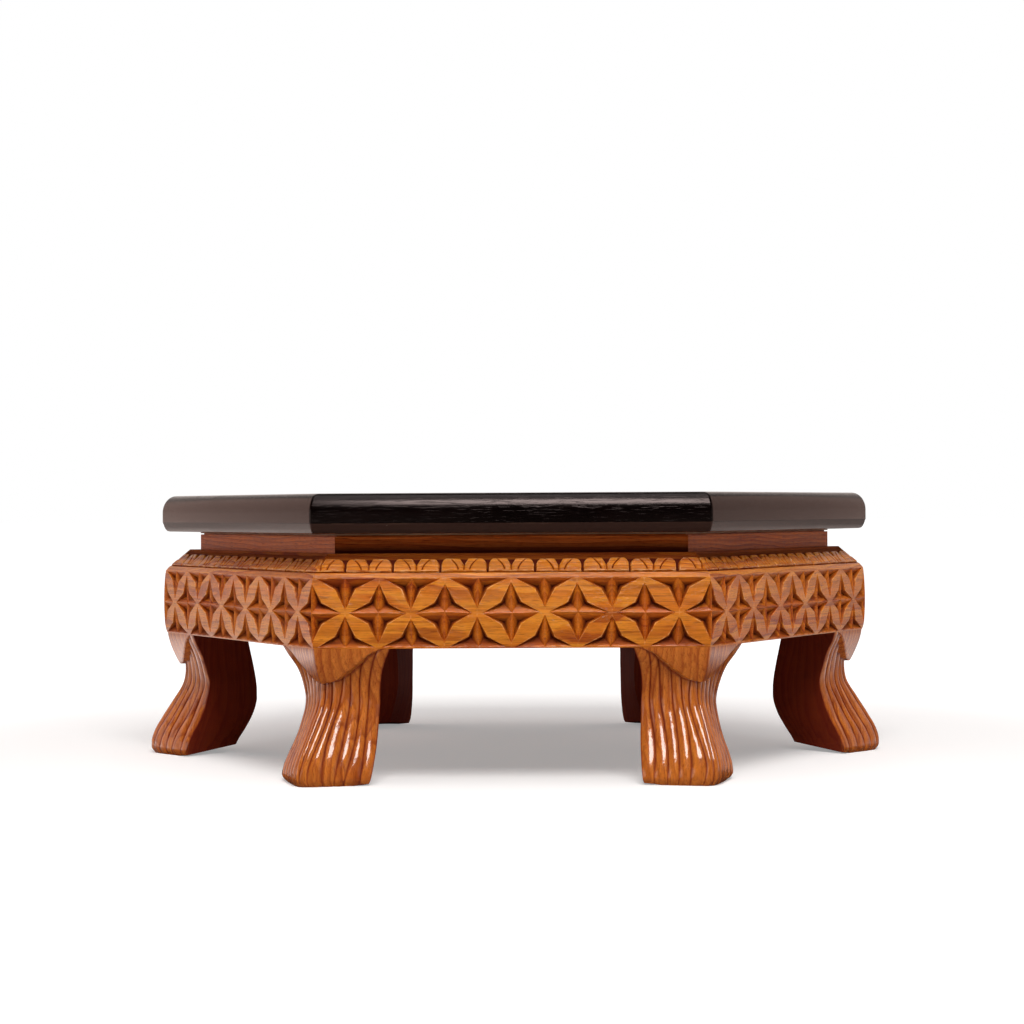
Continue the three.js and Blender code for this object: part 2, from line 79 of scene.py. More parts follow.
# Chip-carved band
CELLS_PER_SIDE = 6
CARVING_FOOT_MARGIN = 0.0009
CARVING_TOP_MARGIN = 0.0005
CHIP_DEPTH = 0.0048
STAR_CENTRE_DEPTH = 0.0008
CHIP_TIP_GAP = 0.0024
PETAL_EDGE_WIDTH = 0.0004
PETAL_EDGE_DROP = 0.0003
PIT_SHIFT_ALONG = 0.0017
PIT_SHIFT_UP = 0.0005
CROSSING_JITTER = 0.0006
CORNER_JITTER = 0.0004
FACE_RIPPLE = 0.0001
CHIP_STEPS = 6
PETAL_CORNER_SHARE = 0.3
RIDGE_SOFTNESS_SHARE = 0.35
# Painted shade: chips this near the face's foot are painted darker
LOW_CHIP_HEIGHT = 0.007
LOW_CHIP_SHADE = 0.3
CHIP_SHADE_START = 0.2
TIP_GAP_SHARES = (0.75, 1.35)
RIDGE_SWELL = 0.3
RIPPLE_WAVES = 7
RIPPLE_PITCHES = (0.004, 0.016)
END_STEPS = 12
# Wear with painted highlight and dirt with painted shade at the corners of a chip's facet and
# of the wall beside it, and the wear with painted highlight of a petal and its lip
FACET_WEAR_AND_HIGHLIGHT, FACET_DIRT_AND_SHADE = (0.9, 0.9, 0), (0.3, 0.3, 1)
WALL_WEAR_AND_HIGHLIGHT, WALL_DIRT_AND_SHADE = (0.5, 0.5, 0), (0.5, 0.7, 1)
PETAL_WEAR_AND_HIGHLIGHT, LIP_WEAR_AND_HIGHLIGHT = (0, 0.93, 0.93), (0.9, 1, 1)

# Petal row on the shoulder
SCALES_PER_SIDE = 8
SCALE_ROW_DEPTH = 0.0097
SCALE_FOOT = 0.0050
SCALE_TOP = 0.0162
SCALE_RELIEF = 0.0014
SCALE_EDGE = 0.0006
SCALE_PILLOW = 0.0003
SCALE_GAP_DEPTH = 0.0005
BAND_RAISE = 0.0003
BAND_ROUND = 0.0035
BAND_GROOVE_DEPTH = 0.0008
BAND_GROOVE_WIDTH = 0.00042
LEDGE_ROUND = 0.0012
# Painted shade on the apron's bare ledge, back and foot, and on the slope above the petal row
BARE_SIDE_SHADE = 0.8
SLOPE_SHADE = 0.79
VEIN_DEPTH = 0.0008
VEIN_WIDTH = 0.00045
SHOULDER_COLUMNS = 620
SHOULDER_ROWS = 60
SCALE_HALF_WIDTH_SHARE = 0.48
SCALE_SHOULDER_SHARE = 0.5
SCALE_TOP_WIDTH_SHARE = 0.7
NOTCH_WIDTH_SHARE = 0.085
NOTCH_FOOT_SHARE = 0.5
# Shares of a petal: how far it drifts, the course of its vein, and where up the petal its
# vein, its stem and the gap beside it begin and end
SIDE_DRIFT, RISE_DRIFT, VEIN_DRIFT = 0.015, 0.025, 0.02
VEIN_START, VEIN_SPREAD = 0.13, 0.19
VEIN_ENDS = (0.06, 0.2), (0.9, 1)
STEM_ENDS = (0.05, 0.15), (0.5, 0.6)
GAP_ENDS = (0, 0.06), (0.3, 0.42)
GAP_SIDES = SCALE_HALF_WIDTH_SHARE - 0.01, SCALE_HALF_WIDTH_SHARE + 0.02
STEM_SHARE = 0.7
# Painted shade in the veins; wear with a painted highlight on the lobes' rims
VEIN_SHADE = 1.2
RIM_START, RIM_WEAR_AND_HIGHLIGHT = 0.3, 0.96

# Legs. A section is a share of the leg's height and, as shares of the blank's side, how far
# the outer corner stands out and the side corners in, the half width and the inner corner in
LEG_BLANK = 0.060
REED_DEPTH = 0.0014
REEDS_PER_FACE = 6
STEPS_PER_REED = 12
LEG_LEVELS = 84
CORNER_ROUND_SHARE = 0.15
REED_POWER = 2.1
LEG_SECTION_SHARES = [
    [0, 0.108, 0.342, 0.535, 0.825],
    [0.035, 0.147, 0.325, 0.572, 0.833],
    [0.093, 0.155, 0.342, 0.583, 0.867],
    [0.187, 0.117, 0.4, 0.57, 0.95],
    [0.304, 0.022, 0.483, 0.537, 1.042],
    [0.444, -0.103, 0.55, 0.505, 1.1],
    [0.591, -0.225, 0.585, 0.488, 1.092],
    [0.713, -0.25, 0.55, 0.506, 1.063],
    [0.841, -0.225, 0.5, 0.561, 1.025],
    [0.935, -0.183, 0.445, 0.64, 0.997],
    [1, -0.15, 0.425, 0.698, 0.98],
]
HEEL_LIFT = 0.0055
HEEL_START_SHARE = 0.25
HEEL_END_SHARE = 0.85
REED_WANDER_SHARE = 0.17
FOOT_FADE = 0.4
FOOT_FADE_SHARE = 0.17
LEG_WAVE = 0.0002
# Painted shade on the legs' inner faces, in the reeds' grooves and as a shadow along the shield's lower
# edge; the reeds' crests get wear with a painted highlight
INNER_FACE_SHADE = 0.85
GROOVE_SHADE = 0.85
GROOVE_SHADE_POWER = 8
CREASE_SHADOW = 0.6
REED_WEAR_AND_HIGHLIGHT = 0.9
REED_WAVES = (0.6, 1.5)
LEG_WAVE_SHARES = (2, 0.6)
# Two of the feet stand a little off, outwards and sideways, as the legs were carved by eye
FOOT_SWAYS = {"front_left": (0, -0.0036), "front_right": (-0.0023, -0.0040)}
FOOT_SWAY_POWER = 1.5
LEG_SLIM_SHARE = 0.995

# Pendant shield. Its outline is rows of drop and reach, as shares
SHIELD_DROP = 0.0223
SHIELD_LEAN = 0.009
SHIELD_LEAN_POWER = 1.5
SHIELD_REACH = 0.043
SHIELD_THICKNESS = 0.009
SHIELD_ROUND = 0.0012
SHIELD_CREASE = 0.002
SHIELD_EDGE = 0.0007
SHIELD_ROWS = 44
SHIELD_COLUMNS = 48
SHIELD_ROW_POWER = 1.6
SHIELD_BEND_SHARE = 0.25
# The shield's rim gets wear with a painted highlight
SHIELD_RIM_WEAR_AND_HIGHLIGHT = 0.95
CREASE_END = (1, 1.05)
SHIELD_OUTLINE_SHARES = [
    [0, 1], [0.1, 0.86], [0.22, 0.75], [0.4, 0.62], [0.6, 0.47], [0.8, 0.31], [0.93, 0.18], [1, 0.03],
]

# Slab edge. Its bevel is rows of depth and height, as shares
SLAB_ROUND_HEIGHT = 0.012
SLAB_ROUND_DEPTH = 0.0086
SLAB_BEVEL_HEIGHT = 0.0064
SLAB_BEVEL_DEPTH = 0.0031
SLAB_BEVEL_SHARES = [[1.45, 0], [0.94, 0.06], [0.6, 0.25], [0.36, 0.5]]
SLAB_OVERHANG = 0.0009
SLAB_CORNER_ROUND = 0.0022
SLAB_LIP = 0.0003
SLAB_ROUND_STEPS = 14
SLAB_CORNER_STEPS = 6

# Camera, from the facet corners and the heights of the near and far corners
LENS_MM = 84.6
CAMERA_DISTANCE = 1.7165
CAMERA_HEIGHT = 0.1731
CAMERA_TILT_DEG = 0.095
CAMERA_YAW_DEG = 0.5
CAMERA_ROLL_DEG = -0.3
CAMERA_SIDESTEP = -0.0012
CAMERA_REACH = 100
SENSOR_MM = 36


def facet_length(depth):
    """Half the length of a mitred board at a depth behind its facet."""
    return HALF_SIDE - (depth + MITRE_GAP) * math.tan(HALF_ANGLE)


def turned(points, angle):
    """Points turned about the vertical axis."""
    c, s = math.cos(angle), math.sin(angle)
    x, y, z = np.asarray(points, float).T
    return np.stack([c * x - s * y, s * x + c * y, z], axis=1)


def smooth(low, high, value):
    """0 below low, 1 above high and an even curve between."""
    share = np.clip((value - low) / (high - low), 0, 1)
    return share * share * (3 - 2 * share)


def between(value, rise, fall):
    """1 between a rise and a fall, each given by where it starts and ends."""
    return smooth(*rise, value) * (1 - smooth(*fall, value))


def ripple(across, up, seed):
    """A gentle uneven wave from -1 to 1, as a hand tool leaves it. Lengths in metres."""
    random = np.random.default_rng(seed)
    total = np.zeros(np.broadcast(across, up).shape)
    for _ in range(RIPPLE_WAVES):
        pitch = random.uniform(*RIPPLE_PITCHES)
        angle, phase = random.uniform(0, 2 * math.pi, 2)
        along = across * math.cos(angle) + up * math.sin(angle)
        total = total + np.sin(2 * math.pi * along / pitch + phase)
    return total / RIPPLE_WAVES


class Patch:
    """Points with their wear, which also carries painted highlights, and their dirt, which also carries
    painted shade, and the faces between them.
    """

    def __init__(self):
        self.points, self.wear, self.dirt, self.faces = [], [], [], []

    def add(self, points, faces, wear=0.0, dirt=0.0):
        start = len(self.points)
        count = len(points)
        self.points.extend(tuple(point) for point in points)
        self.wear.extend(np.broadcast_to(wear, count))
        self.dirt.extend(np.broadcast_to(dirt, count))
        self.faces.extend(tuple(start + i for i in face) for face in faces)

    def add_grid(self, grid, wear=0.0, dirt=0.0, closed=False):
        """Rows of points, joined to the next row, and round to the first column if closed."""
        rows, columns = grid.shape[:2]
        spans = columns if closed else columns - 1
        faces = [
            (r * columns + c, r * columns + (c + 1) % columns,
             (r + 1) * columns + (c + 1) % columns, (r + 1) * columns + c)
            for r in range(rows - 1) for c in range(spans)
        ]
        spread = [np.broadcast_to(mark, (rows, columns)).ravel() for mark in (wear, dirt)]
        self.add(grid.reshape(-1, 3), faces, *spread)

    def add_closed(self, grid, wear, dirt):
        """Rings of points, joined to each other and closed by a face at both ends."""
        first = len(self.points)
        self.add_grid(grid, wear, dirt, closed=True)
        count = grid.shape[1]
        last = len(self.points) - count
        self.faces.append(tuple(range(first, first + count))[::-1])
        self.faces.append(tuple(range(last, last + count)))

    def add_triangle(self, corners, steps, wear=(0, 0, 0), dirt=(0, 0, 0), swell=0.0):
        """A triangle in small steps. Swell rounds it off along its first edge, a ridge."""
        index, points, wears, dirts = {}, [], [], []
        corners = np.array(corners, float)
        for i in range(steps + 1):
            for j in range(steps + 1 - i):
                share = np.array([steps - i - j, i, j]) / steps
                point = share @ corners
                ridge = share[0] + share[1]
                if swell and 0 < ridge < 1:
                    soft = RIDGE_SOFTNESS_SHARE
                    eased = (math.hypot(share[2], soft) - soft) / (math.hypot(1, soft) - soft)
                    level = (share[:2] @ corners[:2, 1]) / ridge
                    spread = math.sqrt(4 * share[0] * share[1]) / ridge
                    point[1] += swell * spread * (eased - share[2]) * (corners[2, 1] - level)
                index[i, j] = len(points)
                points.append(point)
                wears.append(share @ wear)
                dirts.append(share @ dirt)
        faces = []
        for i in range(steps):
            for j in range(steps - i):
                faces.append((index[i, j], index[i + 1, j], index[i, j + 1]))
                if j < steps - i - 1:
                    faces.append((index[i + 1, j], index[i + 1, j + 1], index[i, j + 1]))
        area = np.cross(corners[1][[0, 2]] - corners[0][[0, 2]], corners[2][[0, 2]] - corners[0][[0, 2]])
        if area < 0:
            faces = [face[::-1] for face in faces]
        self.add(points, faces, wears, dirts)


def face_depth(height):
    """How far the apron's face lies behind its facet: it swells, and rolls back at its edges."""
    middle = (LEG_HEIGHT + SHOULDER_FOOT) / 2
    rise = np.clip((height - middle) / (APRON_HEIGHT / 2), -1, 1)
    low = np.clip(1 - (height - LEG_HEIGHT) / FOOT_ROLL_HEIGHT, 0, 1)
    high = np.clip(1 - (SHOULDER_FOOT - height) / TOP_ROLL_HEIGHT, 0, 1)
    return FACE_BULGE * rise ** 2 + FOOT_ROLL * low ** 2 + TOP_ROLL * high ** 2


def toward(start, end, gap):
    """A point a short way from start on the way to end."""
    way = end - start
    return start + way * gap / np.linalg.norm(way)


def sunk(point, depth):
    """A point moved in behind the face."""
    return point + np.array([0, depth, 0])


class CarvedLines:
    """Where the lines of the carved band cross, each a little off, as a hand leaves it."""

    def __init__(self, seed):
        self.random = np.random.default_rng(seed)
        self.steps = 2 * CELLS_PER_SIDE
        bottom = LEG_HEIGHT + CARVING_FOOT_MARGIN
        top = SHOULDER_FOOT - CARVING_TOP_MARGIN
        heights = {-1: bottom, 0: (bottom + top) / 2, 1: top}
        self.places, self.tips = {}, {}
        for step in range(self.steps + 1):
            for row, height in heights.items():
                x, z = self.random.uniform(-CROSSING_JITTER, CROSSING_JITTER, 2)
                x = 0 if self.is_end(step) else x
                z = z if row == 0 else 0
                along = (2 * step / self.steps - 1) * HALF_SIDE
                self.places[step, row] = np.array([along + x, 0, height + z])

    def is_end(self, step):
        return step in (0, self.steps)

    def tip(self, start, end):
        """A chip's tip, which stops a little short of the crossing it points at."""
        if (start, end) not in self.tips:
            gap = CHIP_TIP_GAP * self.random.uniform(*TIP_GAP_SHARES)
            self.tips[start, end] = toward(self.places[start], self.places[end], gap)
        return self.tips[start, end]


def add_chip(patch, tip, ridge, side, pit, soft):
    """Half of a chip: a facet from its ridge down to its pit, and the petal's wall beside it."""
    swell = RIDGE_SWELL if soft else 0
    patch.add_triangle([tip, ridge, pit], CHIP_STEPS, FACET_WEAR_AND_HIGHLIGHT, FACET_DIRT_AND_SHADE, swell)
    lip = sunk(side, PETAL_EDGE_DROP)
    patch.add_triangle([tip, lip, pit], CHIP_STEPS, WALL_WEAR_AND_HIGHLIGHT, WALL_DIRT_AND_SHADE)


def add_petal(patch, outline, corners):
    """A flat petal, with a narrow worn edge beside its two side corners, its wear also a painted
    highlight.
    """
    middle = (outline[0] + outline[4]) / 2
    for i, start in enumerate(outline):
        end = outline[(i + 1) % len(outline)]
        patch.add_triangle([middle, start, end], CHIP_STEPS, PETAL_WEAR_AND_HIGHLIGHT)
    for place, corner in corners:
        lip = sunk(corner, PETAL_EDGE_DROP)
        for end in (outline[place - 1], outline[place + 1]):
            patch.add_triangle([end, outline[place], lip], CHIP_STEPS, LIP_WEAR_AND_HIGHLIGHT)


def add_cell_corner(patch, lines, cell, h, v):
    """One petal of a cell, toward h (-1 left, 1 right) and v (-1 down, 1 up), and its chips."""
    centre_at, star_at = (2 * cell + 1, 0), (2 * cell + 1 + h, 0)
    end_at, tip_at = (2 * cell + 1, v), (2 * cell + 1 + h, v)
    centre, star, end_star, tip = (lines.places[at] for at in (centre_at, star_at, end_at, tip_at))
    width, height = abs(tip[0] - centre[0]), abs(tip[2] - centre[2])
    near, far = PETAL_CORNER_SHARE, 1 - PETAL_CORNER_SHARE

    def side(across, up):
        x, z = lines.random.uniform(-CORNER_JITTER, CORNER_JITTER, 2)
        return centre + np.array([h * across * width + x, 0, v * up * height + z])

    low, high = side(far, near), side(near, far)
    low_pit = sunk(low + np.array([h * PIT_SHIFT_ALONG, 0, -v * PIT_SHIFT_UP]), CHIP_DEPTH)
    high_pit = sunk(high + np.array([-h * PIT_SHIFT_ALONG, 0, v * PIT_SHIFT_UP]), CHIP_DEPTH)
    star = sunk(star, 0 if lines.is_end(star_at[0]) else STAR_CENTRE_DEPTH)
    near_low, near_high = lines.tip(centre_at, star_at), lines.tip(centre_at, end_at)
    far_low, far_high = lines.tip(tip_at, star_at), lines.tip(tip_at, end_at)
    middle = (centre + tip) / 2
    low_in, high_in = toward(low, middle, PETAL_EDGE_WIDTH), toward(high, middle, PETAL_EDGE_WIDTH)
    outline = [centre, near_low, low_in, far_low, tip, far_high, high_in, near_high]
    add_petal(patch, outline, [(2, low), (6, high)])
    add_chip(patch, near_low, star, low, low_pit, soft=False)
    add_chip(patch, far_low, star, low, low_pit, soft=True)
    add_chip(patch, near_high, end_star, high, high_pit, soft=True)
    add_chip(patch, far_high, end_star, high, high_pit, soft=False)


def add_margin(patch, lines, row, edge_height):
    """The plain strip between the carved band and an edge of the face."""
    marks = []
    for step in range(0, lines.steps + 1, 2):
        if step > 0:
            marks.append(lines.tip((step, row), (step - 1, row)))
        marks.append(lines.places[step, row])
        if step < lines.steps:
            marks.append(lines.tip((step, row), (step + 1, row)))
            marks.append(lines.places[step + 1, row])
    shares = np.arange(CHIP_STEPS)[:, None] / CHIP_STEPS
    spans = [start + (end - start) * shares for start, end in zip(marks, marks[1:])]
    inner = np.concatenate([*spans, marks[-1:]])
    outer = inner.copy()
    outer[:, 2] = edge_height
    grid = np.array([inner, (inner + outer) / 2, outer])
    patch.add_grid(grid if row > 0 else grid[::-1])


def bulged(points):
    """Lays a flat face on its swelling, inside the mitres."""
    points = np.array(points, float)
    depth = face_depth(points[:, 2])
    points[:, 0] *= facet_length(depth) / HALF_SIDE
    points[:, 1] += depth
    return points


def scale_relief(along, reach, seed):
    """Height of the petal row above the slope, by place along the facet and up the slope.
    Also gives its wear, with painted highlights on the lobes' rims, and its dirt, which is
    painted shade in the background, veins, stems, gaps and groove and on the slope above the row."""
    random = np.random.default_rng(seed)
    drifts = random.uniform(-1, 1, (3, SCALES_PER_SIDE + 1))
    drifts[:, [0, -1]] = 0
    half_count = SCALES_PER_SIDE // 2
    pitch = facet_length(SCALE_ROW_DEPTH) / half_count
    unit = np.clip(np.round(along / pitch).astype(int), -half_count, half_count)
    place = unit + half_count
    x = np.abs(along / pitch - unit + SIDE_DRIFT * drifts[1][place])
    height = SCALE_TOP - SCALE_FOOT
    v = (reach - SCALE_FOOT) / height + RISE_DRIFT * drifts[0][place]
    climb = np.clip((v - SCALE_SHOULDER_SHARE) / (1 - SCALE_SHOULDER_SHARE), 0, 1)
    narrowing = SCALE_TOP_WIDTH_SHARE + (1 - SCALE_TOP_WIDTH_SHARE) * np.sqrt(1 - climb ** 2)
    half_width = SCALE_HALF_WIDTH_SHARE * narrowing
    notch = NOTCH_WIDTH_SHARE * (v - NOTCH_FOOT_SHARE) / (1 - NOTCH_FOOT_SHARE)
    beside_notch = np.where(v > NOTCH_FOOT_SHARE, (x - notch) * pitch, pitch)
    inside = np.minimum.reduce([(half_width - x) * pitch, (1 - v) * height, v * height, beside_notch])
    raised = smooth(-SCALE_EDGE / 2, SCALE_EDGE, inside)
    lobe_middle = SCALE_HALF_WIDTH_SHARE / 2
    pillow = 1 - ((x - lobe_middle) / lobe_middle) ** 2

    vein_x = VEIN_START + VEIN_SPREAD * np.clip(v, 0, 1) ** 2 + VEIN_DRIFT * drifts[2][place]
    vein = np.exp(-((x - vein_x) * pitch / VEIN_WIDTH) ** 2) * between(v, *VEIN_ENDS)
    stem = np.exp(-(x * pitch / VEIN_WIDTH) ** 2) * between(v, *STEM_ENDS)
    gap = smooth(*GAP_SIDES, x) * between(v, *GAP_ENDS)
    groove = np.exp(-((reach - SCALE_FOOT + BAND_GROOVE_WIDTH) / BAND_GROOVE_WIDTH) ** 2)
    in_row = smooth(SCALE_FOOT - SCALE_EDGE, SCALE_FOOT, reach)

    slope_length = math.hypot(SHOULDER_RISE, SHOULDER_DEPTH - FACE_BULGE - TOP_ROLL)
    ground = BAND_RAISE * smooth(0, BAND_ROUND, reach) - SCALE_RELIEF * in_row
    ground = ground * (1 - smooth(slope_length - LEDGE_ROUND, slope_length, reach))
    relief = ground + raised * (SCALE_RELIEF + SCALE_PILLOW * pillow)
    relief = relief - VEIN_DEPTH * (vein + STEM_SHARE * stem) * raised
    relief = relief - SCALE_GAP_DEPTH * gap - BAND_GROOVE_DEPTH * groove
    edge = raised * (1 - smooth(0, 2 * SCALE_EDGE, inside - SCALE_EDGE / 2))
    wear = np.where(edge > RIM_START, RIM_WEAR_AND_HIGHLIGHT, 0)
    above_row = smooth(SCALE_TOP - SCALE_EDGE, SCALE_TOP + SCALE_EDGE, reach)
    # Painted shade in the background between the lobes and on the slope above them
    ground_dirt = (1 - raised) * in_row * (1 - (1 - SLOPE_SHADE) * above_row)
    dirt = np.clip(ground_dirt + gap + groove + VEIN_SHADE * vein * raised + stem, 0, 1)
    return relief, wear, dirt


def add_shoulder(patch, seed):
    """The slope over the face, with its plain band, groove and petal row, up to the ledge."""
    start = np.array([face_depth(SHOULDER_FOOT), SHOULDER_FOOT])
    end = np.array([SHOULDER_DEPTH, LEDGE_HEIGHT])
    length = np.linalg.norm(end - start)
    reach = np.linspace(0, length, SHOULDER_ROWS)
    line = start + (end - start) * (reach / length)[:, None]
    outward = np.array([start[1] - end[1], end[0] - start[0]]) / length
    share = np.linspace(-1, 1, SHOULDER_COLUMNS + 1)
    along = share * facet_length(line[:, :1])
    relief, wear, dirt = scale_relief(along, reach[:, None], seed)
    relief = relief + FACE_RIPPLE * ripple(along, reach[:, None], seed + 1)
    relief[[0, -1]] = 0
    depth = line[:, :1] + relief * outward[0]
    height = line[:, 1:] + relief * outward[1]
    along = share * facet_length(depth)
    patch.add_grid(np.stack([along, depth, height], axis=2), wear=wear, dirt=dirt)


def add_board_back(patch):
    """The apron's plain ledge, back and foot, and its mitred ends."""
    section = [
        [SHOULDER_DEPTH, LEDGE_HEIGHT], [APRON_THICKNESS, LEDGE_HEIGHT],
        [APRON_THICKNESS, LEG_HEIGHT], [face_depth(LEG_HEIGHT), LEG_HEIGHT],
    ]
    grid = np.array([
        [[side * facet_length(depth), depth, height] for side in (-1, 1)] for depth, height in section
    ])
    # The ledge, back and foot are painted with shade
    patch.add_grid(grid, dirt=BARE_SIDE_SHADE)
    heights = np.linspace(LEG_HEIGHT, SHOULDER_FOOT, END_STEPS + 1)
    face = [[face_depth(height), height] for height in heights]
    for side in (-1, 1):
        points = [[side * facet_length(depth), depth, height] for depth, height in face + section[:3]]
        order = range(len(points))
        patch.add(points, [order if side < 0 else order[::-1]])


def apron_patch(seed):
    """One apron board in the front facet's position."""
    lines = CarvedLines(seed)
    patch = Patch()
    for cell in range(CELLS_PER_SIDE):
        for h in (-1, 1):
            for v in (-1, 1):
                add_cell_corner(patch, lines, cell, h, v)
    add_margin(patch, lines, 1, SHOULDER_FOOT)
    add_margin(patch, lines, -1, LEG_HEIGHT)
    points = bulged(patch.points)
    margin = 2 * CARVING_TOP_MARGIN
    inner = np.abs(points[:, 0]) < HALF_SIDE - 2 * CHIP_TIP_GAP
    inner &= (points[:, 2] > LEG_HEIGHT + margin) & (points[:, 2] < SHOULDER_FOOT - margin)
    # Painted shade: the chips near the face's foot are painted darker
    low = 1 - smooth(0, LOW_CHIP_HEIGHT, points[:, 2] - LEG_HEIGHT)
    patch.dirt = [
        mark + LOW_CHIP_SHADE * share * (mark > CHIP_SHADE_START) for mark, share in zip(patch.dirt, low)
    ]
    wave = FACE_RIPPLE * (1 + ripple(points[:, 0], points[:, 2], seed))
    points[:, 1] += np.where(inner, wave, 0)
    patch.points = [tuple(point) for point in points]
    add_shoulder(patch, seed)
    add_board_back(patch)
    patch.points = [(s, depth - FACET_RADIUS, height) for s, depth, height in patch.points]
    return patch


def through(rows, at):
    """Smooth values at a place through rows of [place, value, ...]."""
    rows = np.array(rows, float)
    slopes = np.gradient(rows[:, 1:], rows[:, 0], axis=0)
    i = int(np.clip(np.searchsorted(rows[:, 0], at, side="right") - 1, 0, len(rows) - 2))
    span = rows[i + 1, 0] - rows[i, 0]
    t = (at - rows[i, 0]) / span
    start, end = rows[i, 1:], rows[i + 1, 1:]
    return (
        (2 * t ** 3 - 3 * t ** 2 + 1) * start + (3 * t ** 2 - 2 * t ** 3) * end
        + span * ((t ** 3 - 2 * t ** 2 + t) * slopes[i] + (t ** 3 - t ** 2) * slopes[i + 1])
    )


def leg_section(share):
    """Sizes of the leg's section at a share of its height."""
    sizes = through(LEG_SECTION_SHARES, share)
    widest = np.max(LEG_SECTION_SHARES, axis=0)[1:]
    return np.minimum(sizes, widest)


def reed_places(share, seed):
    """Where the reeds' grooves run across the leg at one level. They wander a little."""
    random = np.random.default_rng(seed)
    count = 2 * REEDS_PER_FACE
    waves, phases = random.uniform(*REED_WAVES, count + 1), random.uniform(0, 2 * math.pi, count + 1)
    drift = REED_WANDER_SHARE / REEDS_PER_FACE * np.sin(2 * math.pi * waves * share + phases)
    drift[[0, -1]] = 0
    grooves = np.linspace(-1, 1, count + 1) + drift
    steps = np.arange(count * STEPS_PER_REED + 1) / STEPS_PER_REED
    return np.interp(steps, np.arange(count + 1), grooves), steps


def reed_fade(share):
    """How deep the reeds are at a share of the leg's height. They fade toward the foot."""
    return FOOT_FADE + (1 - FOOT_FADE) * smooth(0, FOOT_FADE_SHARE, share)


def leg_ring(share, seed):
    """One level of the leg in the +X corner's position, from the inner corner round."""
    outer, side, half, inner = leg_section(share)
    side_radius = CORNER_RADIUS - side * LEG_BLANK
    rise = (outer + side) * LEG_BLANK * LEG_SLIM_SHARE / (1 - CORNER_ROUND_SHARE)
    half_width = half * LEG_BLANK * LEG_SLIM_SHARE
    across, steps = reed_places(share, seed)
    bend = np.hypot(across, CORNER_ROUND_SHARE)
    radius = side_radius + rise * (math.hypot(1, CORNER_ROUND_SHARE) - bend)
    fall = np.arctan2(rise * across / bend, half_width)
    groove = 2 * np.abs(steps % 1 - 0.5)
    sink = REED_DEPTH * reed_fade(share) * groove ** REED_POWER
    x = radius - sink * np.cos(fall)
    y = half_width * across - sink * np.sin(fall)
    inner_x = CORNER_RADIUS - inner * LEG_BLANK
    plain = np.linspace(0, 1, STEPS_PER_REED + 1)[1:]
    into = np.stack([x[-1] + (inner_x - x[-1]) * plain, y[-1] * (1 - plain)], axis=1)
    back = np.stack([inner_x + (x[0] - inner_x) * plain[:-1], y[0] * plain[:-1]], axis=1)
    ring = np.concatenate([np.stack([x, y], axis=1), into, back])
    grooves = np.zeros(len(ring))
    grooves[:len(x)] = groove
    return ring, grooves


def lifted(grid):
    """The leg's points, with the heel planed clear of the floor."""
    start = CORNER_RADIUS - HEEL_START_SHARE * LEG_BLANK
    run = (HEEL_END_SHARE - HEEL_START_SHARE) * LEG_BLANK
    lift = HEEL_LIFT * np.clip((start - grid[..., 0]) / run, 0, None)
    return np.stack([grid[..., 0], grid[..., 1], np.maximum(grid[..., 2], lift)], axis=2)


def shield_reach(drop):
    """How far the shield reaches from the mitre at a share of its drop."""
    return through(SHIELD_OUTLINE_SHARES, min(drop, 1))[0] * SHIELD_REACH


def shield_crease(grid, shares):
    """How near the leg's points lie to the shield's lower edge, from 0 to 1, where a painted shadow
    falls.
    """
    drops = (1 - shares) * LEG_HEIGHT / SHIELD_DROP
    reach = np.array([shield_reach(drop) for drop in drops])[:, None]
    beside = np.abs(grid[..., 1]) / math.cos(HALF_ANGLE) - reach
    return np.exp(-(beside / SHIELD_CREASE) ** 2) * (1 - smooth(*CREASE_END, drops))[:, None]


def leg_patch(seed, name):
    """A leg with its reeds and pendant shield in the +X corner's position."""
    shares = np.linspace(0, 1, LEG_LEVELS)
    rings = [leg_ring(share, seed) for share in shares]
    grid = np.array([
        np.column_stack([ring, np.full(len(ring), share * LEG_HEIGHT)])
        for share, (ring, _) in zip(shares, rings)
    ])
    grooves = np.array([groove for _, groove in rings])
    across, up = LEG_WAVE_SHARES
    wave = LEG_WAVE * ripple(grid[..., 1] * across, grid[..., 2] * up, seed)
    reeded = np.arange(grooves.shape[1]) < 2 * REEDS_PER_FACE * STEPS_PER_REED + 1
    grid[..., 0] -= np.abs(wave) * reeded
    sway = np.array(FOOT_SWAYS.get(name, (0, 0)))
    grid[..., :2] += sway * (1 - shares[:, None, None]) ** FOOT_SWAY_POWER
    # Painted shade in the grooves and on the inner faces, and a painted shadow under the shield's edge
    dirt = GROOVE_SHADE * reed_fade(shares)[:, None] * grooves ** GROOVE_SHADE_POWER
    dirt = np.maximum(dirt + INNER_FACE_SHADE * ~reeded, CREASE_SHADOW * shield_crease(grid, shares))
    # Reed crests: wear with a painted highlight
    wear = np.clip(1 - grooves, 0, REED_WEAR_AND_HIGHLIGHT) * reeded
    patch = Patch()
    patch.add_closed(lifted(grid), wear, dirt)
    add_shield(patch)
    return patch


def shield_point(along, depth, height):
    """A point round the +X corner, by length from the mitre and depth behind the facets."""
    bend = max(0, 1 - abs(along) / SHIELD_ROUND) ** 2 * SHIELD_ROUND * SHIELD_BEND_SHARE
    return (
        CORNER_RADIUS - depth / math.cos(HALF_ANGLE) - abs(along) * math.sin(HALF_ANGLE) - bend,
        along * math.cos(HALF_ANGLE),
        height,
    )


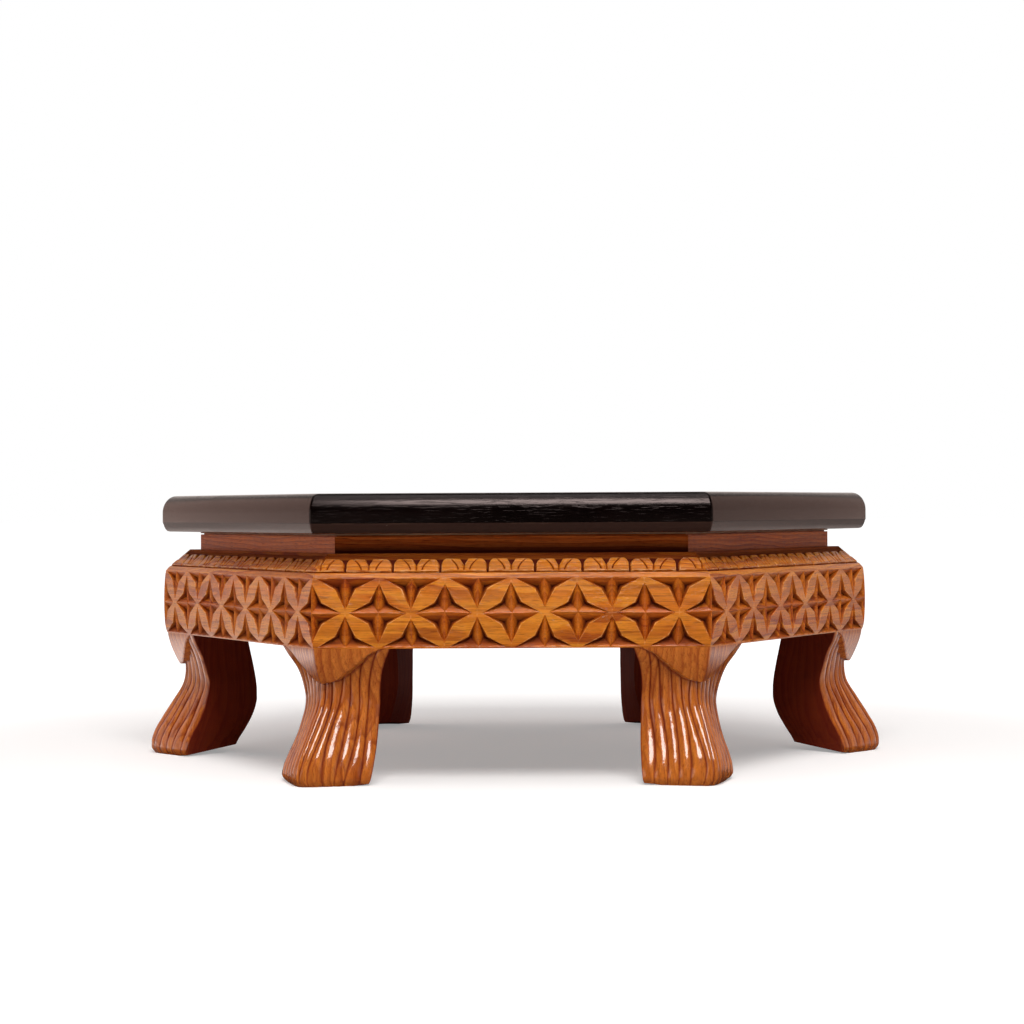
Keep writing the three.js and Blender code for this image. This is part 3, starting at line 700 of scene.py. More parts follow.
def add_shield(patch):
    """The pendant shield, a leaning chevron round the corner with a soft lower edge."""
    drops = 1 - (1 - np.linspace(0, 1, SHIELD_ROWS)) ** SHIELD_ROW_POWER
    across = np.linspace(-1, 1, SHIELD_COLUMNS + 1)
    start = face_depth(LEG_HEIGHT)
    layers = []
    for inset, shrink in ((0, SHIELD_EDGE), (SHIELD_EDGE, 0), (SHIELD_THICKNESS, 0)):
        rows = []
        for drop in drops:
            reach = max(shield_reach(drop) - shrink, 0)
            height = LEG_HEIGHT - drop * (SHIELD_DROP - shrink)
            depth = start + (SHIELD_LEAN - start) * drop ** SHIELD_LEAN_POWER
            rows.append([shield_point(share * reach, depth, height) for share in across])
        level = np.array(rows)
        level[..., 0] -= inset
        layers.append(level)
    front, rim, back = layers
    patch.add_grid(front[::-1])
    patch.add_grid(back)
    for near, far, wear in ((front, rim, SHIELD_RIM_WEAR_AND_HIGHLIGHT), (rim, back, 0)):
        for strip in (
            np.stack([far[:, 0], near[:, 0]], axis=1),
            np.stack([near[:, -1], far[:, -1]], axis=1),
            np.stack([near[-1], far[-1]], axis=0)[::-1],
            np.stack([near[0], far[0]], axis=0),
        ):
            patch.add_grid(strip, wear=wear)


def slab_section():
    """The slab's edge from its foot to its flat top, as depth and height."""
    round_foot = SLAB_TOP - SLAB_ROUND_HEIGHT
    turns = np.linspace(0, math.pi / 2, SLAB_ROUND_STEPS + 1)
    rounded = [
        [SLAB_ROUND_DEPTH * (1 - math.cos(turn)), round_foot + SLAB_ROUND_HEIGHT * math.sin(turn)]
        for turn in turns
    ]
    lip = SLAB_LIP
    bevel_top = SLAB_FOOT + SLAB_BEVEL_HEIGHT
    bevel = [
        [depth * SLAB_BEVEL_DEPTH, SLAB_FOOT + rise * SLAB_BEVEL_HEIGHT]
        for depth, rise in SLAB_BEVEL_SHARES
    ]
    corner = [[lip / 2, bevel_top - lip / 2], [0, bevel_top + lip], [0, bevel_top + 2 * lip]]
    return [*bevel, *corner, *rounded]


def slab_outline(depth):
    """The slab's plan at a depth behind its facets, with softened corners."""
    radius = SLAB_CORNER_ROUND
    centre = CORNER_RADIUS + (SLAB_OVERHANG - depth - radius) / math.cos(HALF_ANGLE)
    points = []
    for corner in range(SIDE_COUNT):
        angle = corner * SIDE_ANGLE
        for turn in np.linspace(-HALF_ANGLE, HALF_ANGLE, SLAB_CORNER_STEPS + 1):
            points.append([
                centre * math.cos(angle) + radius * math.cos(angle + turn),
                centre * math.sin(angle) + radius * math.sin(angle + turn),
            ])
    return np.array(points)


def slab_patch():
    """The whole slab, before it is parted into boards."""
    patch = Patch()
    rings = []
    for depth, height in slab_section():
        outline = slab_outline(depth)
        rings.append(np.column_stack([outline, np.full(len(outline), height)]))
    grid = np.array(rings)
    wear = np.zeros(grid.shape[:2])
    # A painted highlight along the bevel's crease, and a painted reflection of the floor over the
    # bevel's rows
    crease = len(SLAB_BEVEL_SHARES)
    wear[crease:crease + 2] = 1
    reflecting_bevel = np.arange(len(grid))[:, None] <= crease
    patch.add_closed(grid, wear, reflecting_bevel)
    return patch


SHARP_ANGLE_DEG, SLAB_SHARP_ANGLE_DEG = 24, 20
WELD_DISTANCE = 0.000004
# Grain: a piece's axes along the grain and across it, where they start, and the least and
# greatest shift, which sets how far the log's pith lies from the piece
BOARD_GRAIN = {
    "axes": [0, 1, 2], "start": (0, -FACET_RADIUS, (LEG_HEIGHT + LEDGE_HEIGHT) / 2),
    "shifts": ((0.2, 0.045, -0.02), (3, 0.09, 0.02)),
}
LEG_GRAIN = {
    "axes": [2, 0, 1], "start": (0, CORNER_RADIUS - LEG_BLANK, 0),
    "shifts": ((0.2, -0.03, 0.13), (3, 0, 0.22)),
}
SLAB_GRAIN = {
    "axes": [0, 1, 2], "start": (0, 0, SLAB_FOOT), "shifts": ((0.2, -0.1, -0.12), (3, 0.1, -0.06)),
}


def mesh_from(name, patch, points, grain, angle=SHARP_ANGLE_DEG):
    """A mesh with its grain, its wear with painted highlights and its dirt with painted shade as
    attributes, welded, with sharp edges marked.
    """
    mesh = bpy.data.meshes.new(name)
    mesh.from_pydata([tuple(point) for point in points], [], patch.faces)
    mesh.attributes.new("grain", "FLOAT_VECTOR", "POINT").data.foreach_set("vector", np.ravel(grain))
    for key, values in (("wear", patch.wear), ("dirt", patch.dirt)):
        mesh.attributes.new(key, "FLOAT", "POINT").data.foreach_set("value", np.array(values, float))
    work = bmesh.new()
    work.from_mesh(mesh)
    bmesh.ops.remove_doubles(work, verts=work.verts, dist=WELD_DISTANCE)
    bmesh.ops.dissolve_degenerate(work, edges=work.edges, dist=WELD_DISTANCE)
    bmesh.ops.recalc_face_normals(work, faces=work.faces)
    for face in work.faces:
        face.smooth = True
    for edge in work.edges:
        edge.smooth = len(edge.link_faces) == 2 and edge.calc_face_angle() < math.radians(angle)
    work.to_mesh(mesh)
    work.free()
    return mesh


def put(name, data):
    """A new object in the scene."""
    made = bpy.data.objects.new(name, data)
    bpy.context.collection.objects.link(made)
    return made


def add_piece(mesh, material, slot, *nodes):
    """A piece that stands for CAD nodes, with its material."""
    mesh.materials.append(material)
    piece = put(mesh.name, mesh)
    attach(piece, "root")
    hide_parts(*nodes)


def grain_places(points, seed, axes, start, shifts):
    """Grain coordinates: X runs along the grain, and the pith is where Y and Z are 0."""
    shift = np.random.default_rng(seed).uniform(*shifts)
    return np.array(points, float)[:, axes] - start + shift


def make_round(names, first_seed, build, grain, title, material, slot, node_title):
    """A piece at each side or corner, turned to its place."""
    for i, name in enumerate(names):
        seed = first_seed + SEED_STEP * i
        patch = build(seed, name)
        places = grain_places(patch.points, seed, **grain)
        mesh = mesh_from(f"{title}_{name}", patch, turned(patch.points, i * SIDE_ANGLE), places)
        add_piece(mesh, material, slot, f"{node_title}_{name}")


def keep_between(mesh, low, high):
    """Cuts a mesh down to what lies between two planes across Y, and closes the cuts."""
    work = bmesh.new()
    work.from_mesh(mesh)
    for place, normal in ((low, (0, -1, 0)), (high, (0, 1, 0))):
        everything = [*work.verts, *work.edges, *work.faces]
        cut = bmesh.ops.bisect_plane(
            work, geom=everything, plane_co=(0, place, 0), plane_no=normal, clear_outer=True,
        )
        rim = [item for item in cut["geom_cut"] if isinstance(item, bmesh.types.BMEdge)]
        if rim:
            bmesh.ops.edgeloop_fill(work, edges=rim)
            for edge in rim:
                edge.smooth = False
    work.to_mesh(mesh)
    work.free()


def make_slab(material):
    """The slab, parted into its boards."""
    patch = slab_patch()
    last = len(BOARD_NAMES) - 1
    width = 2 * FACET_RADIUS / len(BOARD_NAMES)
    for i, name in enumerate(BOARD_NAMES):
        places = grain_places(patch.points, SLAB_SEED + i, **SLAB_GRAIN)
        mesh = mesh_from(f"slab_board_{name}", patch, patch.points, places, SLAB_SHARP_ANGLE_DEG)
        low = i * width - FACET_RADIUS if i > 0 else -CORNER_RADIUS
        high = (i + 1) * width - FACET_RADIUS if i < last else CORNER_RADIUS
        keep_between(mesh, low, high)
        add_piece(mesh, material, "black_wood", f"top_board_{name}")


def fill(tree, made, values):
    """Sets a node's inputs to numbers, colours or other nodes' outputs."""
    for key, value in values.items():
        if isinstance(value, bpy.types.NodeSocket):
            tree.links.new(value, made.inputs[key])
        else:
            made.inputs[key].default_value = value


def node(tree, kind, values=None, **settings):
    """A shader node with its inputs and settings."""
    made = tree.nodes.new("ShaderNode" + kind)
    for key, value in settings.items():
        setattr(made, key, value)
    fill(tree, made, values or {})
    return made


def maths(tree, operation, *values):
    return node(tree, "Math", dict(enumerate(values)), operation=operation).outputs[0]


def times(tree, first, second):
    return maths(tree, "MULTIPLY", first, second)


def weighed(tree, values, weights):
    """The sum of values, each times its weight."""
    total = 0
    for value, weight in zip(values, weights):
        total = maths(tree, "MULTIPLY_ADD", value, weight, total)
    return total


def mapped(tree, value, start, end, low=0, high=1, **settings):
    """A value between start and end, moved to between low and high."""
    values = {"Value": value, "From Min": start, "From Max": end, "To Min": low, "To Max": high}
    return node(tree, "MapRange", values, **settings).outputs[0]


def axes_of(tree, vector):
    return node(tree, "SeparateXYZ", {0: vector}).outputs


def noise(tree, vector, scale, detail=2, roughness=0.5, distortion=0):
    """Noise from 0 to 1, with its scale per metre along each axis."""
    scaled = node(tree, "VectorMath", {0: vector, 1: scale}, operation="MULTIPLY").outputs[0]
    values = {
        "Vector": scaled, "Scale": 1, "Detail": detail, "Roughness": roughness,
        "Distortion": distortion,
    }
    return node(tree, "TexNoise", values).outputs[0]


def ramp(tree, value, stops, smooth_steps=False):
    """A value through stops of [place, colour or level]."""
    made = node(tree, "ValToRGB", {0: value})
    band = made.color_ramp
    band.interpolation = "EASE" if smooth_steps else "LINEAR"
    while len(band.elements) < len(stops):
        band.elements.new(0.5)
    for element, (place, level) in zip(band.elements, stops):
        element.position = place
        element.color = (*level, 1) if isinstance(level, tuple) else (level, level, level, 1)
    return made.outputs[0]


def layer(tree, place, noise_values, stops):
    """Noise through a ramp."""
    return ramp(tree, noise(tree, place, *noise_values), stops)


def blend(tree, factor, first, second, mode="MIX"):
    """A mix of two colours, each a tuple or another node's output."""
    colours = [(*value, 1) if isinstance(value, tuple) else value for value in (first, second)]
    values = {0: factor, 6: colours[0], 7: colours[1]}
    return node(tree, "Mix", values, data_type="RGBA", blend_type=mode).outputs[2]


def bump(tree, height, strength, distance, under=None):
    """Bump from a height, on top of another bump if one is given."""
    values = {"Height": height, "Strength": strength, "Distance": distance}
    if under:
        values["Normal"] = under
    return node(tree, "Bump", values).outputs[0]


def new_material(name):
    material = bpy.data.materials.new(name)
    material.use_nodes = True
    return material, material.node_tree, material.node_tree.nodes["Principled BSDF"]


def object_place(tree):
    return node(tree, "TexCoord").outputs["Object"]


def own_grain(tree):
    """Grain coordinates that a piece's own mesh carries."""
    return node(tree, "Attribute", attribute_name="grain").outputs["Vector"]


def turned_grain(angle, offset, upright=False):
    """Grain coordinates for a CAD solid, turned so that X runs along its grain."""
    def build(tree):
        turn = (0, math.pi / 2, 0) if upright else (0, 0, -angle)
        values = {"Vector": object_place(tree), "Rotation": turn, "Location": offset}
        return node(tree, "Mapping", values).outputs[0]
    return build


def mark(tree, name):
    return node(tree, "Attribute", attribute_name=name).outputs["Fac"]


# Finishes of wood. light, mid and dark are the colours across a growth ring and pit is that
# of the pores and of the painted shade in the deepest hollows and at the neck boards' foot.
# Carved wood also has a varnish coat, cut, by which its facets darken, and the colour of its
# rubbed edges, lighter, which also stands as a painted highlight.
TEAK = {
    "light": (0.72, 0.250, 0.018), "mid": (0.60, 0.148, 0.008), "dark": (0.27, 0.035, 0.002),
    "cut": (0.84, 0.66, 0.46), "pit": (0.075, 0.007, 0.001), "worn_and_lit": (0.85, 0.45, 0.16),
    "ring": 0.0042, "rough": (0.28, 0.38), "shine": 0.12, "tool": 0.00036,
    "coat": 0.6, "coat_rough": 0.10, "glint": 0.0008,
}
LEG_TEAK = {
    "light": (0.60, 0.175, 0.022), "mid": (0.48, 0.115, 0.014), "dark": (0.24, 0.032, 0.003),
    "cut": (0.6, 0.40, 0.3), "pit": (0.11, 0.004, 0.001), "worn_and_lit": (0.66, 0.30, 0.10),
    "ring": 0.0046, "rough": (0.26, 0.36), "shine": 0.15, "tool": 0.00024,
    "coat": 1.0, "coat_rough": 0.06, "glint": 0.00007,
}
PLAIN_TEAK = {
    "light": (0.66, 0.160, 0.028), "mid": (0.55, 0.100, 0.014), "dark": (0.27, 0.035, 0.004),
    "pit": (0.05, 0.004, 0.001), "ring": 0.0030, "rough": (0.36, 0.48), "shine": 0.15,
    "tool": 0.00048,
}
SOFTWOOD = {
    "light": (0.62, 0.42, 0.22), "mid": (0.52, 0.33, 0.16), "dark": (0.33, 0.17, 0.07),
    "pit": (0.2, 0.1, 0.05), "ring": 0.0045, "rough": (0.62, 0.78), "shine": 0.3, "tool": 0.00072,
}
BEECH = {
    "light": (0.70, 0.50, 0.30), "mid": (0.62, 0.42, 0.24), "dark": (0.48, 0.29, 0.15),
    "pit": (0.3, 0.18, 0.1), "ring": 0.0028, "rough": (0.55, 0.68), "shine": 0.3, "tool": 0.00024,
}
PLY = {
    "light": (0.36, 0.19, 0.10), "mid": (0.28, 0.135, 0.065), "dark": (0.16, 0.065, 0.03),
    "pit": (0.1, 0.04, 0.02), "ring": 0.0060, "rough": (0.60, 0.75), "shine": 0.25,
    "tool": 0.00036,
}
# Black: bevel is a painted reflection of the floor on the slab's bevel, and the rubbed colour also a
# painted highlight
BLACK = {
    "dark": (0.0008, 0.0002, 0.0002), "light": (0.0030, 0.0008, 0.0006),
    "pore": (0.002, 0.0008, 0.0007), "bevel": (0.032, 0.015, 0.011),
    "worn_and_lit": (0.10, 0.055, 0.035), "scratch": (0.16, 0.12, 0.10),
    "ring": 0.006, "shine": 0.3, "tint": (1, 0.80, 0.77, 1),
}
STEEL, STAINED_STEEL = (0.62, 0.58, 0.50), (0.36, 0.31, 0.25)

# Noise: its scale per metre along the grain and across it, detail, roughness, distortion.
# A layer is noise with the stops of its ramp, as place and level.
FIBRE_NOISE, BLACK_FIBRE_NOISE = ((22, 900, 900), 4, 0.6), ((16, 700, 700), 4, 0.65)
TOOL_NOISE, LUMP_NOISE = ((150, 260, 260),), ((600, 800, 800),)
DULL_NOISE = ((900, 900, 900), 3)
# How far the rings swing, in rings, and over what noise
RING_SWINGS = [(6.5, ((5, 22, 22), 3, 0.55)), (0.35, ((14, 160, 160),))]
RING_STOPS = [[0, "light"], [0.5, "mid"], [0.84, "dark"], [0.89, "mid"], [1, "light"]]
RING_SHARE = 0.8
WOOD_LAYERS = {
    "streak": (((6, 170, 170), 3, 0.6), [[0.50, 0], [0.72, 0.5]]),
    "line": (((14, 430, 430), 2, 0.6, 0.3), [[0.54, 0], [0.66, 0.7]]),
    "patch": (((9, 34, 34),), [[0.35, 0], [0.7, 0.5]]),
    "pores": (((130, 3200, 3200), 1), [[0.60, 0], [0.68, 1]]),
    "scuff": (((220, 420, 420), 3), [[0.42, 0], [0.66, 0.75]]),
}
BLACK_LAYERS = {
    "pores": (((70, 1700, 1700),), [[0.57, 0], [0.66, 1]]),
    "scuff": (((45, 260, 260), 4, 0.7), [[0.5, 0], [0.68, 0.35]]),
    "scratch": (((240, 30, 520), 3, 0.7, 1.2), [[0.73, 0], [0.76, 1]]),
    "smudge": (((28, 45, 45), 4, 0.6), [[0.3, 0.16], [0.7, 0.22]]),
}
STEEL_STAIN = ((160, 160, 160), 3), [[0.4, 0], [0.7, 1]]
STEEL_ROUGHNESS = [[0.3, 0.26], [0.7, 0.48]]
BLACK_RING_STOPS = [[0, 0.15], [0.7, 0.6], [1, 0.1]]
FIBRE_SHADE = [[0.32, 0.78], [0.60, 1.0]]
# Stops by which the dirt mark darkens facets and paints shade into the hollows
DIRT_AND_SHADE_STOPS = {"cut": [[0.05, 0], [0.3, 1]], "pit": [[0.55, 0], [0.95, 1]]}
WORN_AND_LIT_STOPS, BLACK_WORN_AND_LIT_STOPS = [[0.88, 0], [0.99, 1]], [[0.75, 0], [0.98, 1]]
ROUGH_PLACES, VARNISH_PLACES = (0.25, 0.75), (0.35, 0.75)
PORE_SHARE, BLACK_PORE_SHARE, SCRATCH_SHARE = 0.55, 0.6, 0.5
DIRT_AND_SHADE_ROUGHNESS, PORE_ROUGHNESS = 0.5, 0.04
VARNISH_IOR = 1.55
# Weights of the fibres, pores and scratches in the bump, and its strength and distance
WOOD_RELIEF, BLACK_RELIEF = (0.5, -0.6), (0.35, -0.9, -0.7)
FIBRE_BUMP, BLACK_BUMP, STEEL_BUMP = (0.55, 0.00012), (0.4, 0.00012), (0.3, 0.00005)
TOOL_STRENGTH, GLINT_STRENGTH = 0.6, 1


def growth_rings(tree, place, spacing):
    """Where a point lies across its growth ring, from 0 to 1."""
    _, y, z = axes_of(tree, place)
    radius = maths(tree, "SQRT", maths(tree, "ADD", times(tree, y, y), times(tree, z, z)))
    for swing, noise_values in RING_SWINGS:
        sway = noise(tree, place, *noise_values)
        radius = maths(tree, "MULTIPLY_ADD", sway, swing * spacing, radius)
    return maths(tree, "FRACT", maths(tree, "DIVIDE", radius, spacing))


def wood_material(name, look, coordinates=own_grain, painted_shade_band=None):
    """Wood with growth rings, fibres, pores and tool marks, and if its look has a coat, with
    hollows painted darker as painted shade, worn edges painted lighter also as a painted
    highlight, and varnish. A painted shade can darken it between two heights, fully at the first."""
    material, tree, shader = new_material(name)
    place = coordinates(tree)
    stops = [[at, look[key]] for at, key in RING_STOPS]
    grown = ramp(tree, growth_rings(tree, place, look["ring"]), stops, smooth_steps=True)
    colour = blend(tree, RING_SHARE, look["mid"], grown)
    for kind, key in (("streak", "dark"), ("line", "dark"), ("patch", "light")):
        colour = blend(tree, layer(tree, place, *WOOD_LAYERS[kind]), colour, look[key])
    fibre = noise(tree, place, *FIBRE_NOISE)
    colour = blend(tree, 1, colour, ramp(tree, fibre, FIBRE_SHADE), "MULTIPLY")
    pores = layer(tree, place, *WOOD_LAYERS["pores"])
    colour = blend(tree, times(tree, pores, PORE_SHARE), colour, look["pit"])
    roughness = ramp(tree, fibre, list(zip(ROUGH_PLACES, look["rough"])))
    fine = bump(tree, weighed(tree, (fibre, pores), WOOD_RELIEF), *FIBRE_BUMP)
    tool = noise(tree, place, *TOOL_NOISE)
    values = {
        "Specular IOR Level": look["shine"],
        "Normal": bump(tree, tool, TOOL_STRENGTH, look["tool"], fine),
    }
    if "coat" in look:
        # The dirt mark paints shade into hollows and the wear mark paints highlights along edges,
        # besides real dirt and wear
        dirt, wear = mark(tree, "dirt"), mark(tree, "wear")
        for key, mode in (("cut", "MULTIPLY"), ("pit", "MIX")):
            colour = blend(tree, ramp(tree, dirt, DIRT_AND_SHADE_STOPS[key]), colour, look[key], mode)
        # Rubbed edges painted lighter, also as a painted highlight
        scuff = layer(tree, place, *WOOD_LAYERS["scuff"])
        rubbed_and_lit = times(tree, ramp(tree, wear, WORN_AND_LIT_STOPS), scuff)
        colour = blend(tree, rubbed_and_lit, colour, look["worn_and_lit"])
        roughness = maths(tree, "MULTIPLY_ADD", dirt, DIRT_AND_SHADE_ROUGHNESS, roughness)
        lumps = noise(tree, place, *LUMP_NOISE)
        values.update({
            "Coat Weight": ramp(tree, dirt, list(zip(VARNISH_PLACES, (look["coat"], 0)))),
            "Coat Roughness": look["coat_rough"], "Coat IOR": VARNISH_IOR,
            "Coat Normal": bump(tree, lumps, GLINT_STRENGTH, look["glint"]),
        })
    # Painted shade between two heights
    if painted_shade_band:
        height = axes_of(tree, object_place(tree))[2]
        colour = blend(tree, mapped(tree, height, *painted_shade_band, PAINTED_SHADE_SHARE, 0), colour, look["pit"])
    fill(tree, shader, {**values, "Base Color": colour, "Roughness": roughness})
    return material


def black_material():
    """Open-grained wood under a black stain, with light scratches and rubbed corners, the rubbed
    crease also a painted highlight. Its bevel is painted browner, a painted reflection of the floor."""
    material, tree, shader = new_material("black_stained_wood")
    place = own_grain(tree)
    pores, scuff, lines, smudge = (layer(tree, place, *values) for values in BLACK_LAYERS.values())
    ring = ramp(tree, growth_rings(tree, place, BLACK["ring"]), BLACK_RING_STOPS)
    rubbed_and_lit = times(tree, ramp(tree, mark(tree, "wear"), BLACK_WORN_AND_LIT_STOPS), scuff)
    colour = blend(tree, ring, BLACK["dark"], BLACK["light"])
    for share, key in (
        (times(tree, pores, BLACK_PORE_SHARE), "pore"), (mark(tree, "dirt"), "bevel"),
        (rubbed_and_lit, "worn_and_lit"), (times(tree, lines, SCRATCH_SHARE), "scratch"),
    ):
        colour = blend(tree, share, colour, BLACK[key])
    fibre = noise(tree, place, *BLACK_FIBRE_NOISE)
    height = weighed(tree, (fibre, pores, lines), BLACK_RELIEF)
    fill(tree, shader, {
        "Base Color": colour, "Normal": bump(tree, height, *BLACK_BUMP),
        "Roughness": maths(tree, "MULTIPLY_ADD", pores, PORE_ROUGHNESS, smudge),
        "Specular IOR Level": BLACK["shine"], "Specular Tint": BLACK["tint"],
    })
    return material


def steel_material():
    """Zinc-plated screws, slightly dulled."""
    material, tree, shader = new_material("zinc_plated_steel")
    place = object_place(tree)
    dull = noise(tree, place, *DULL_NOISE)
    fill(tree, shader, {
        "Base Color": blend(tree, layer(tree, place, *STEEL_STAIN), STEEL, STAINED_STEEL),
        "Metallic": 1, "Roughness": ramp(tree, dull, STEEL_ROUGHNESS),
        "Normal": bump(tree, dull, *STEEL_BUMP),
    })
    return material


CAD_EDGE_ROUND = 0.0003
CLEAT_SIDES = ["front", "rear_right", "rear_left"]
# Painted shade: the front and rear neck boards darken toward the ledge, between these heights
SHADED_SIDES = ["front", "rear"]
NECK_PAINTED_SHADE = (LEDGE_HEIGHT + 0.001, LEDGE_HEIGHT + 0.010)
PAINTED_SHADE_SHARE, SHADED_SHINE = 0.95, 0.03
PLY_OFFSET = (0.4, 0.1, 0.3)
GRAIN_OFFSETS = (0.03, 0.6)


def dress(name, material, edge_round=CAD_EDGE_ROUND):
    """Gives a CAD solid its material and slightly broken edges."""
    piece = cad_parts[name]
    piece.data.materials.clear()
    piece.data.materials.append(material)
    for face in piece.data.polygons:
        face.use_smooth = False
    if edge_round:
        bevel = piece.modifiers.new("broken_edges", "BEVEL")
        bevel.width = edge_round
        bevel.segments = 2
        bevel.limit_method = "ANGLE"


def dress_cad_pieces():
    """Dresses the CAD solids that show as they are."""
    random = np.random.default_rng(CAD_SEED)
    steel = steel_material()
    dress("backing_panel", wood_material("plywood_sheet", PLY, turned_grain(0, PLY_OFFSET)), 0)

    def grain(angle, upright=False):
        return turned_grain(angle, tuple(random.uniform(*GRAIN_OFFSETS, 3)), upright)

    for i, side in enumerate(SIDE_NAMES):
        # Painted shade at the foot of the front and rear neck boards, with less shine
        painted_shade_band = NECK_PAINTED_SHADE if side in SHADED_SIDES else None
        look = {**PLAIN_TEAK, "shine": SHADED_SHINE} if painted_shade_band else PLAIN_TEAK
        neck = wood_material(f"plain_teak_{side}", look, grain(i * SIDE_ANGLE), painted_shade_band)
        dress(f"neck_board_{side}", neck)
    for i, corner in enumerate(CORNER_NAMES):
        block = wood_material(f"softwood_{corner}", SOFTWOOD, grain(i * SIDE_ANGLE + math.pi / 2))
        dress(f"corner_block_{corner}", block)
        dress(f"leg_screw_{corner}", steel, 0)
        beech = wood_material(f"beech_{corner}", BEECH, grain(0, upright=True))
        for end in "ab":
            dress(f"dowel_{corner}_{end}", beech, 0)
    for side in CLEAT_SIDES:
        along = grain(SIDE_NAMES.index(side) * SIDE_ANGLE)
        dress(f"top_cleat_{side}", wood_material(f"cleat_softwood_{side}", SOFTWOOD, along))
        for end in "ab":
            dress(f"top_screw_{side}_{end}", steel, 0)


# Floor: its shade and glow from near to far, and how strongly it shows in reflections to
# the left, to the right and far away
FLOOR_REACH = 30
FLOOR_FADE = (0.3, 0.85)
FLOOR_SHADES = (0.75, 0.4)
FLOOR_GLOWS = (0.3, 1)
FLOOR_ROUGHNESS = 0.9
FLOOR_GLOSS = 0.03
FLOOR_BESIDE = (0.25, 0.36)
SHEENS = (1.7, 1.0)
SHEEN_FADE, SHEEN_FADE_SHARES = (0.4, 0.8), (1, 0.4)
GLOSS_TINT = (1, 0.86, 0.80)
# World: its light, and its level in reflections from the front to the back
AMBIENT = 0.2
GLOSS_STOPS = [[0.85, 0.01], [0.97, 1]]
# Softboxes: azimuth, elevation, distance, width, height, radiance and colour
WARM, PALE = (1, 0.66, 0.56), (1, 0.93, 0.88)
SOFTBOXES = {
    "side_softbox_left": (-108, 12, 1.5, 1.5, 1.2, 1.0, WARM),
    "fill_softbox_left": (-60, 7, 1.8, 1.2, 0.5, 1.2, PALE),
    "side_softbox_right": (108, 12, 1.5, 1.5, 1.2, 0.75, WARM),
    "fill_softbox_right": (60, 7, 1.8, 1.2, 0.5, 0.36, PALE),
    "key_softbox": (5, 46, 1.9, 0.85, 0.8, 13.1, (1, 0.97, 0.95)),
    "top_softbox": (0, 82, 1.6, 1.5, 1.2, 1.4, (1, 1, 1)),
}
AIM = Vector((0, 0, 0.11))


def add_softbox(name, azimuth, elevation, distance, width, height, radiance, colour):
    """An area lamp that looks at the object. Azimuth 0 is in front, 90 to the right."""
    a, e = math.radians(azimuth), math.radians(elevation)
    away = Vector((math.sin(a) * math.cos(e), -math.cos(a) * math.cos(e), math.sin(e)))
    lamp = bpy.data.lights.new(name, "AREA")
    lamp.shape = "RECTANGLE"
    lamp.size, lamp.size_y = width, height
    lamp.energy = radiance * math.pi * width * height
    lamp.color = colour
    box = put(name, lamp)
    box.location = AIM + away * distance
    box.rotation_euler = (-away).to_track_quat("-Z", "Y").to_euler()


def rays(tree):
    """Whether a ray shows the scene itself, and whether it is a reflection."""
    path = node(tree, "LightPath").outputs
    seen = maths(tree, "MAXIMUM", path["Is Camera Ray"], path["Is Transmission Ray"])
    return seen, path["Is Glossy Ray"]


def make_world():
    """White to the camera and behind the object, dim in front of it for reflections."""
    world = bpy.data.worlds.new("studio")
    bpy.context.scene.world = world
    world.use_nodes = True
    tree = world.node_tree
    seen, glossy = rays(tree)
    heading = axes_of(tree, node(tree, "TexCoord").outputs["Generated"])[1]
    behind = ramp(tree, mapped(tree, heading, -1, 1), GLOSS_STOPS)
    level = maths(tree, "MAXIMUM", times(tree, glossy, behind), seen)
    other = maths(tree, "SUBTRACT", 1, maths(tree, "MAXIMUM", seen, glossy))
    fill(tree, tree.nodes["Background"], {
        "Strength": maths(tree, "MULTIPLY_ADD", other, AMBIENT, level),
        "Color": blend(tree, glossy, (1, 1, 1), GLOSS_TINT),
    })


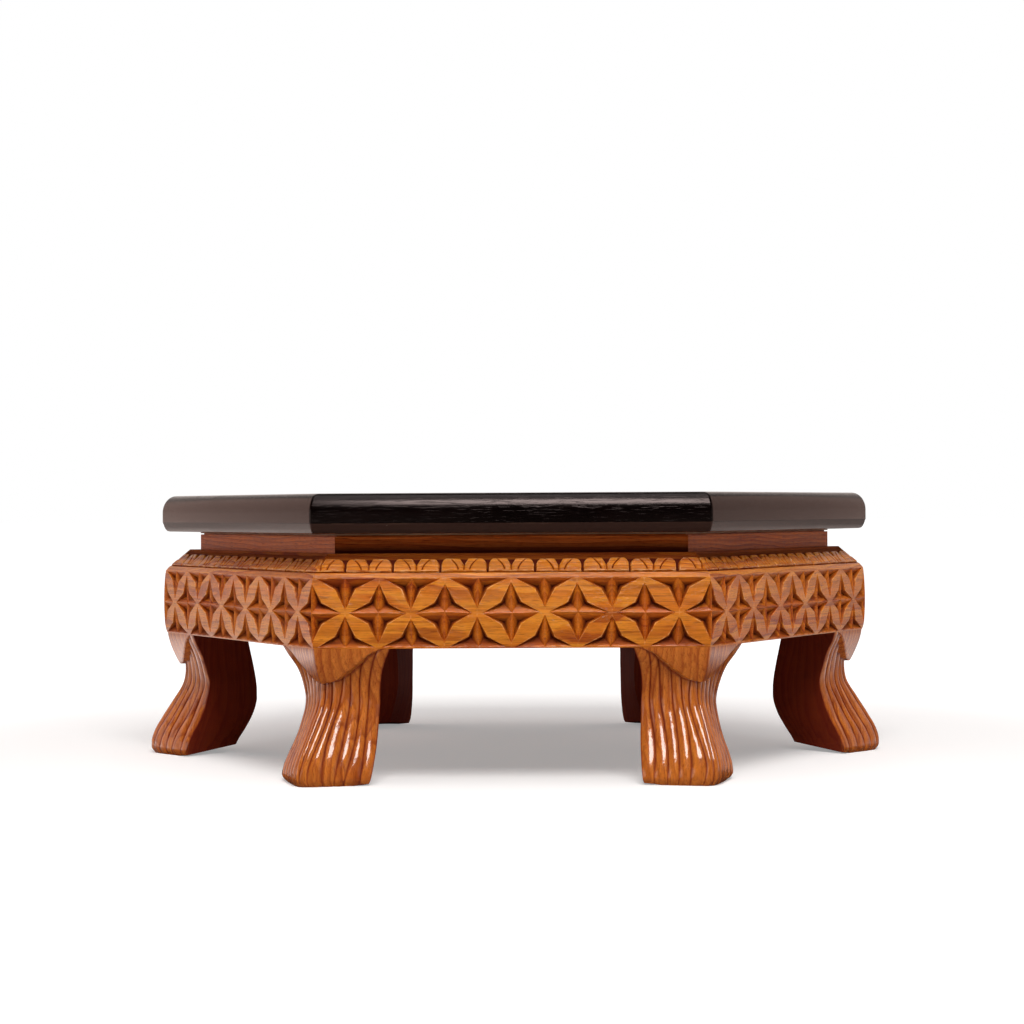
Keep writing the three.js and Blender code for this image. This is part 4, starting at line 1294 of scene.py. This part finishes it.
def make_floor():
    """A pale floor that keeps the object's shadow, and fades to white away from it."""
    mesh = bpy.data.meshes.new("floor")
    r = FLOOR_REACH
    mesh.from_pydata([(-r, -r, 0), (r, -r, 0), (r, r, 0), (-r, r, 0)], [], [(0, 1, 2, 3)])
    material, tree, shader = new_material("pale_floor")
    place = object_place(tree)
    away = node(tree, "VectorMath", {0: place}, operation="LENGTH").outputs["Value"]
    across = axes_of(tree, place)[0]
    seen, glossy = rays(tree)
    glow = mapped(tree, away, *FLOOR_FADE, *FLOOR_GLOWS, interpolation_type="SMOOTHSTEP")
    shade = mapped(tree, away, *FLOOR_FADE, *FLOOR_SHADES)
    sheen = mapped(tree, across, -FLOOR_BESIDE[0], FLOOR_BESIDE[0], *SHEENS)
    beside = mapped(tree, maths(tree, "ABSOLUTE", across), *FLOOR_BESIDE)
    for share in (mapped(tree, away, *SHEEN_FADE, *SHEEN_FADE_SHARES), beside, glossy):
        sheen = times(tree, sheen, share)
    fill(tree, shader, {
        "Base Color": blend(tree, glossy, shade, (FLOOR_GLOSS,) * 3),
        "Roughness": FLOOR_ROUGHNESS, "Specular IOR Level": 0,
        "Emission Strength": maths(tree, "MAXIMUM", times(tree, seen, glow), sheen),
        "Emission Color": blend(tree, glossy, (1, 1, 1), GLOSS_TINT),
    })
    mesh.materials.append(material)
    put("floor", mesh)


def make_camera():
    camera = bpy.data.cameras.new("camera")
    camera.lens = LENS_MM
    camera.sensor_width = SENSOR_MM
    camera.clip_end = CAMERA_REACH
    placed = put("camera", camera)
    placed.matrix_world = (
        Matrix.Rotation(math.radians(CAMERA_YAW_DEG), 4, "Z")
        @ Matrix.Translation((CAMERA_SIDESTEP, -CAMERA_DISTANCE, CAMERA_HEIGHT))
        @ Matrix.Rotation(math.radians(90 - CAMERA_TILT_DEG), 4, "X")
        @ Matrix.Rotation(math.radians(CAMERA_ROLL_DEG), 4, "Z")
    )
    bpy.context.scene.camera = placed
    bpy.context.scene.view_settings.view_transform = "Standard"


make_camera()
for softbox, softbox_values in SOFTBOXES.items():
    add_softbox(softbox, *softbox_values)
make_world()
make_floor()
make_round(
    SIDE_NAMES, APRON_SEED, lambda seed, _: apron_patch(seed), BOARD_GRAIN, "carved_board",
    wood_material("carved_teak_varnished", TEAK), "carved_teak", "apron",
)
make_round(
    CORNER_NAMES, LEG_SEED, leg_patch, LEG_GRAIN, "reeded_leg",
    wood_material("leg_teak_glossy", LEG_TEAK), "leg_teak", "leg",
)
make_slab(black_material())
dress_cad_pieces()
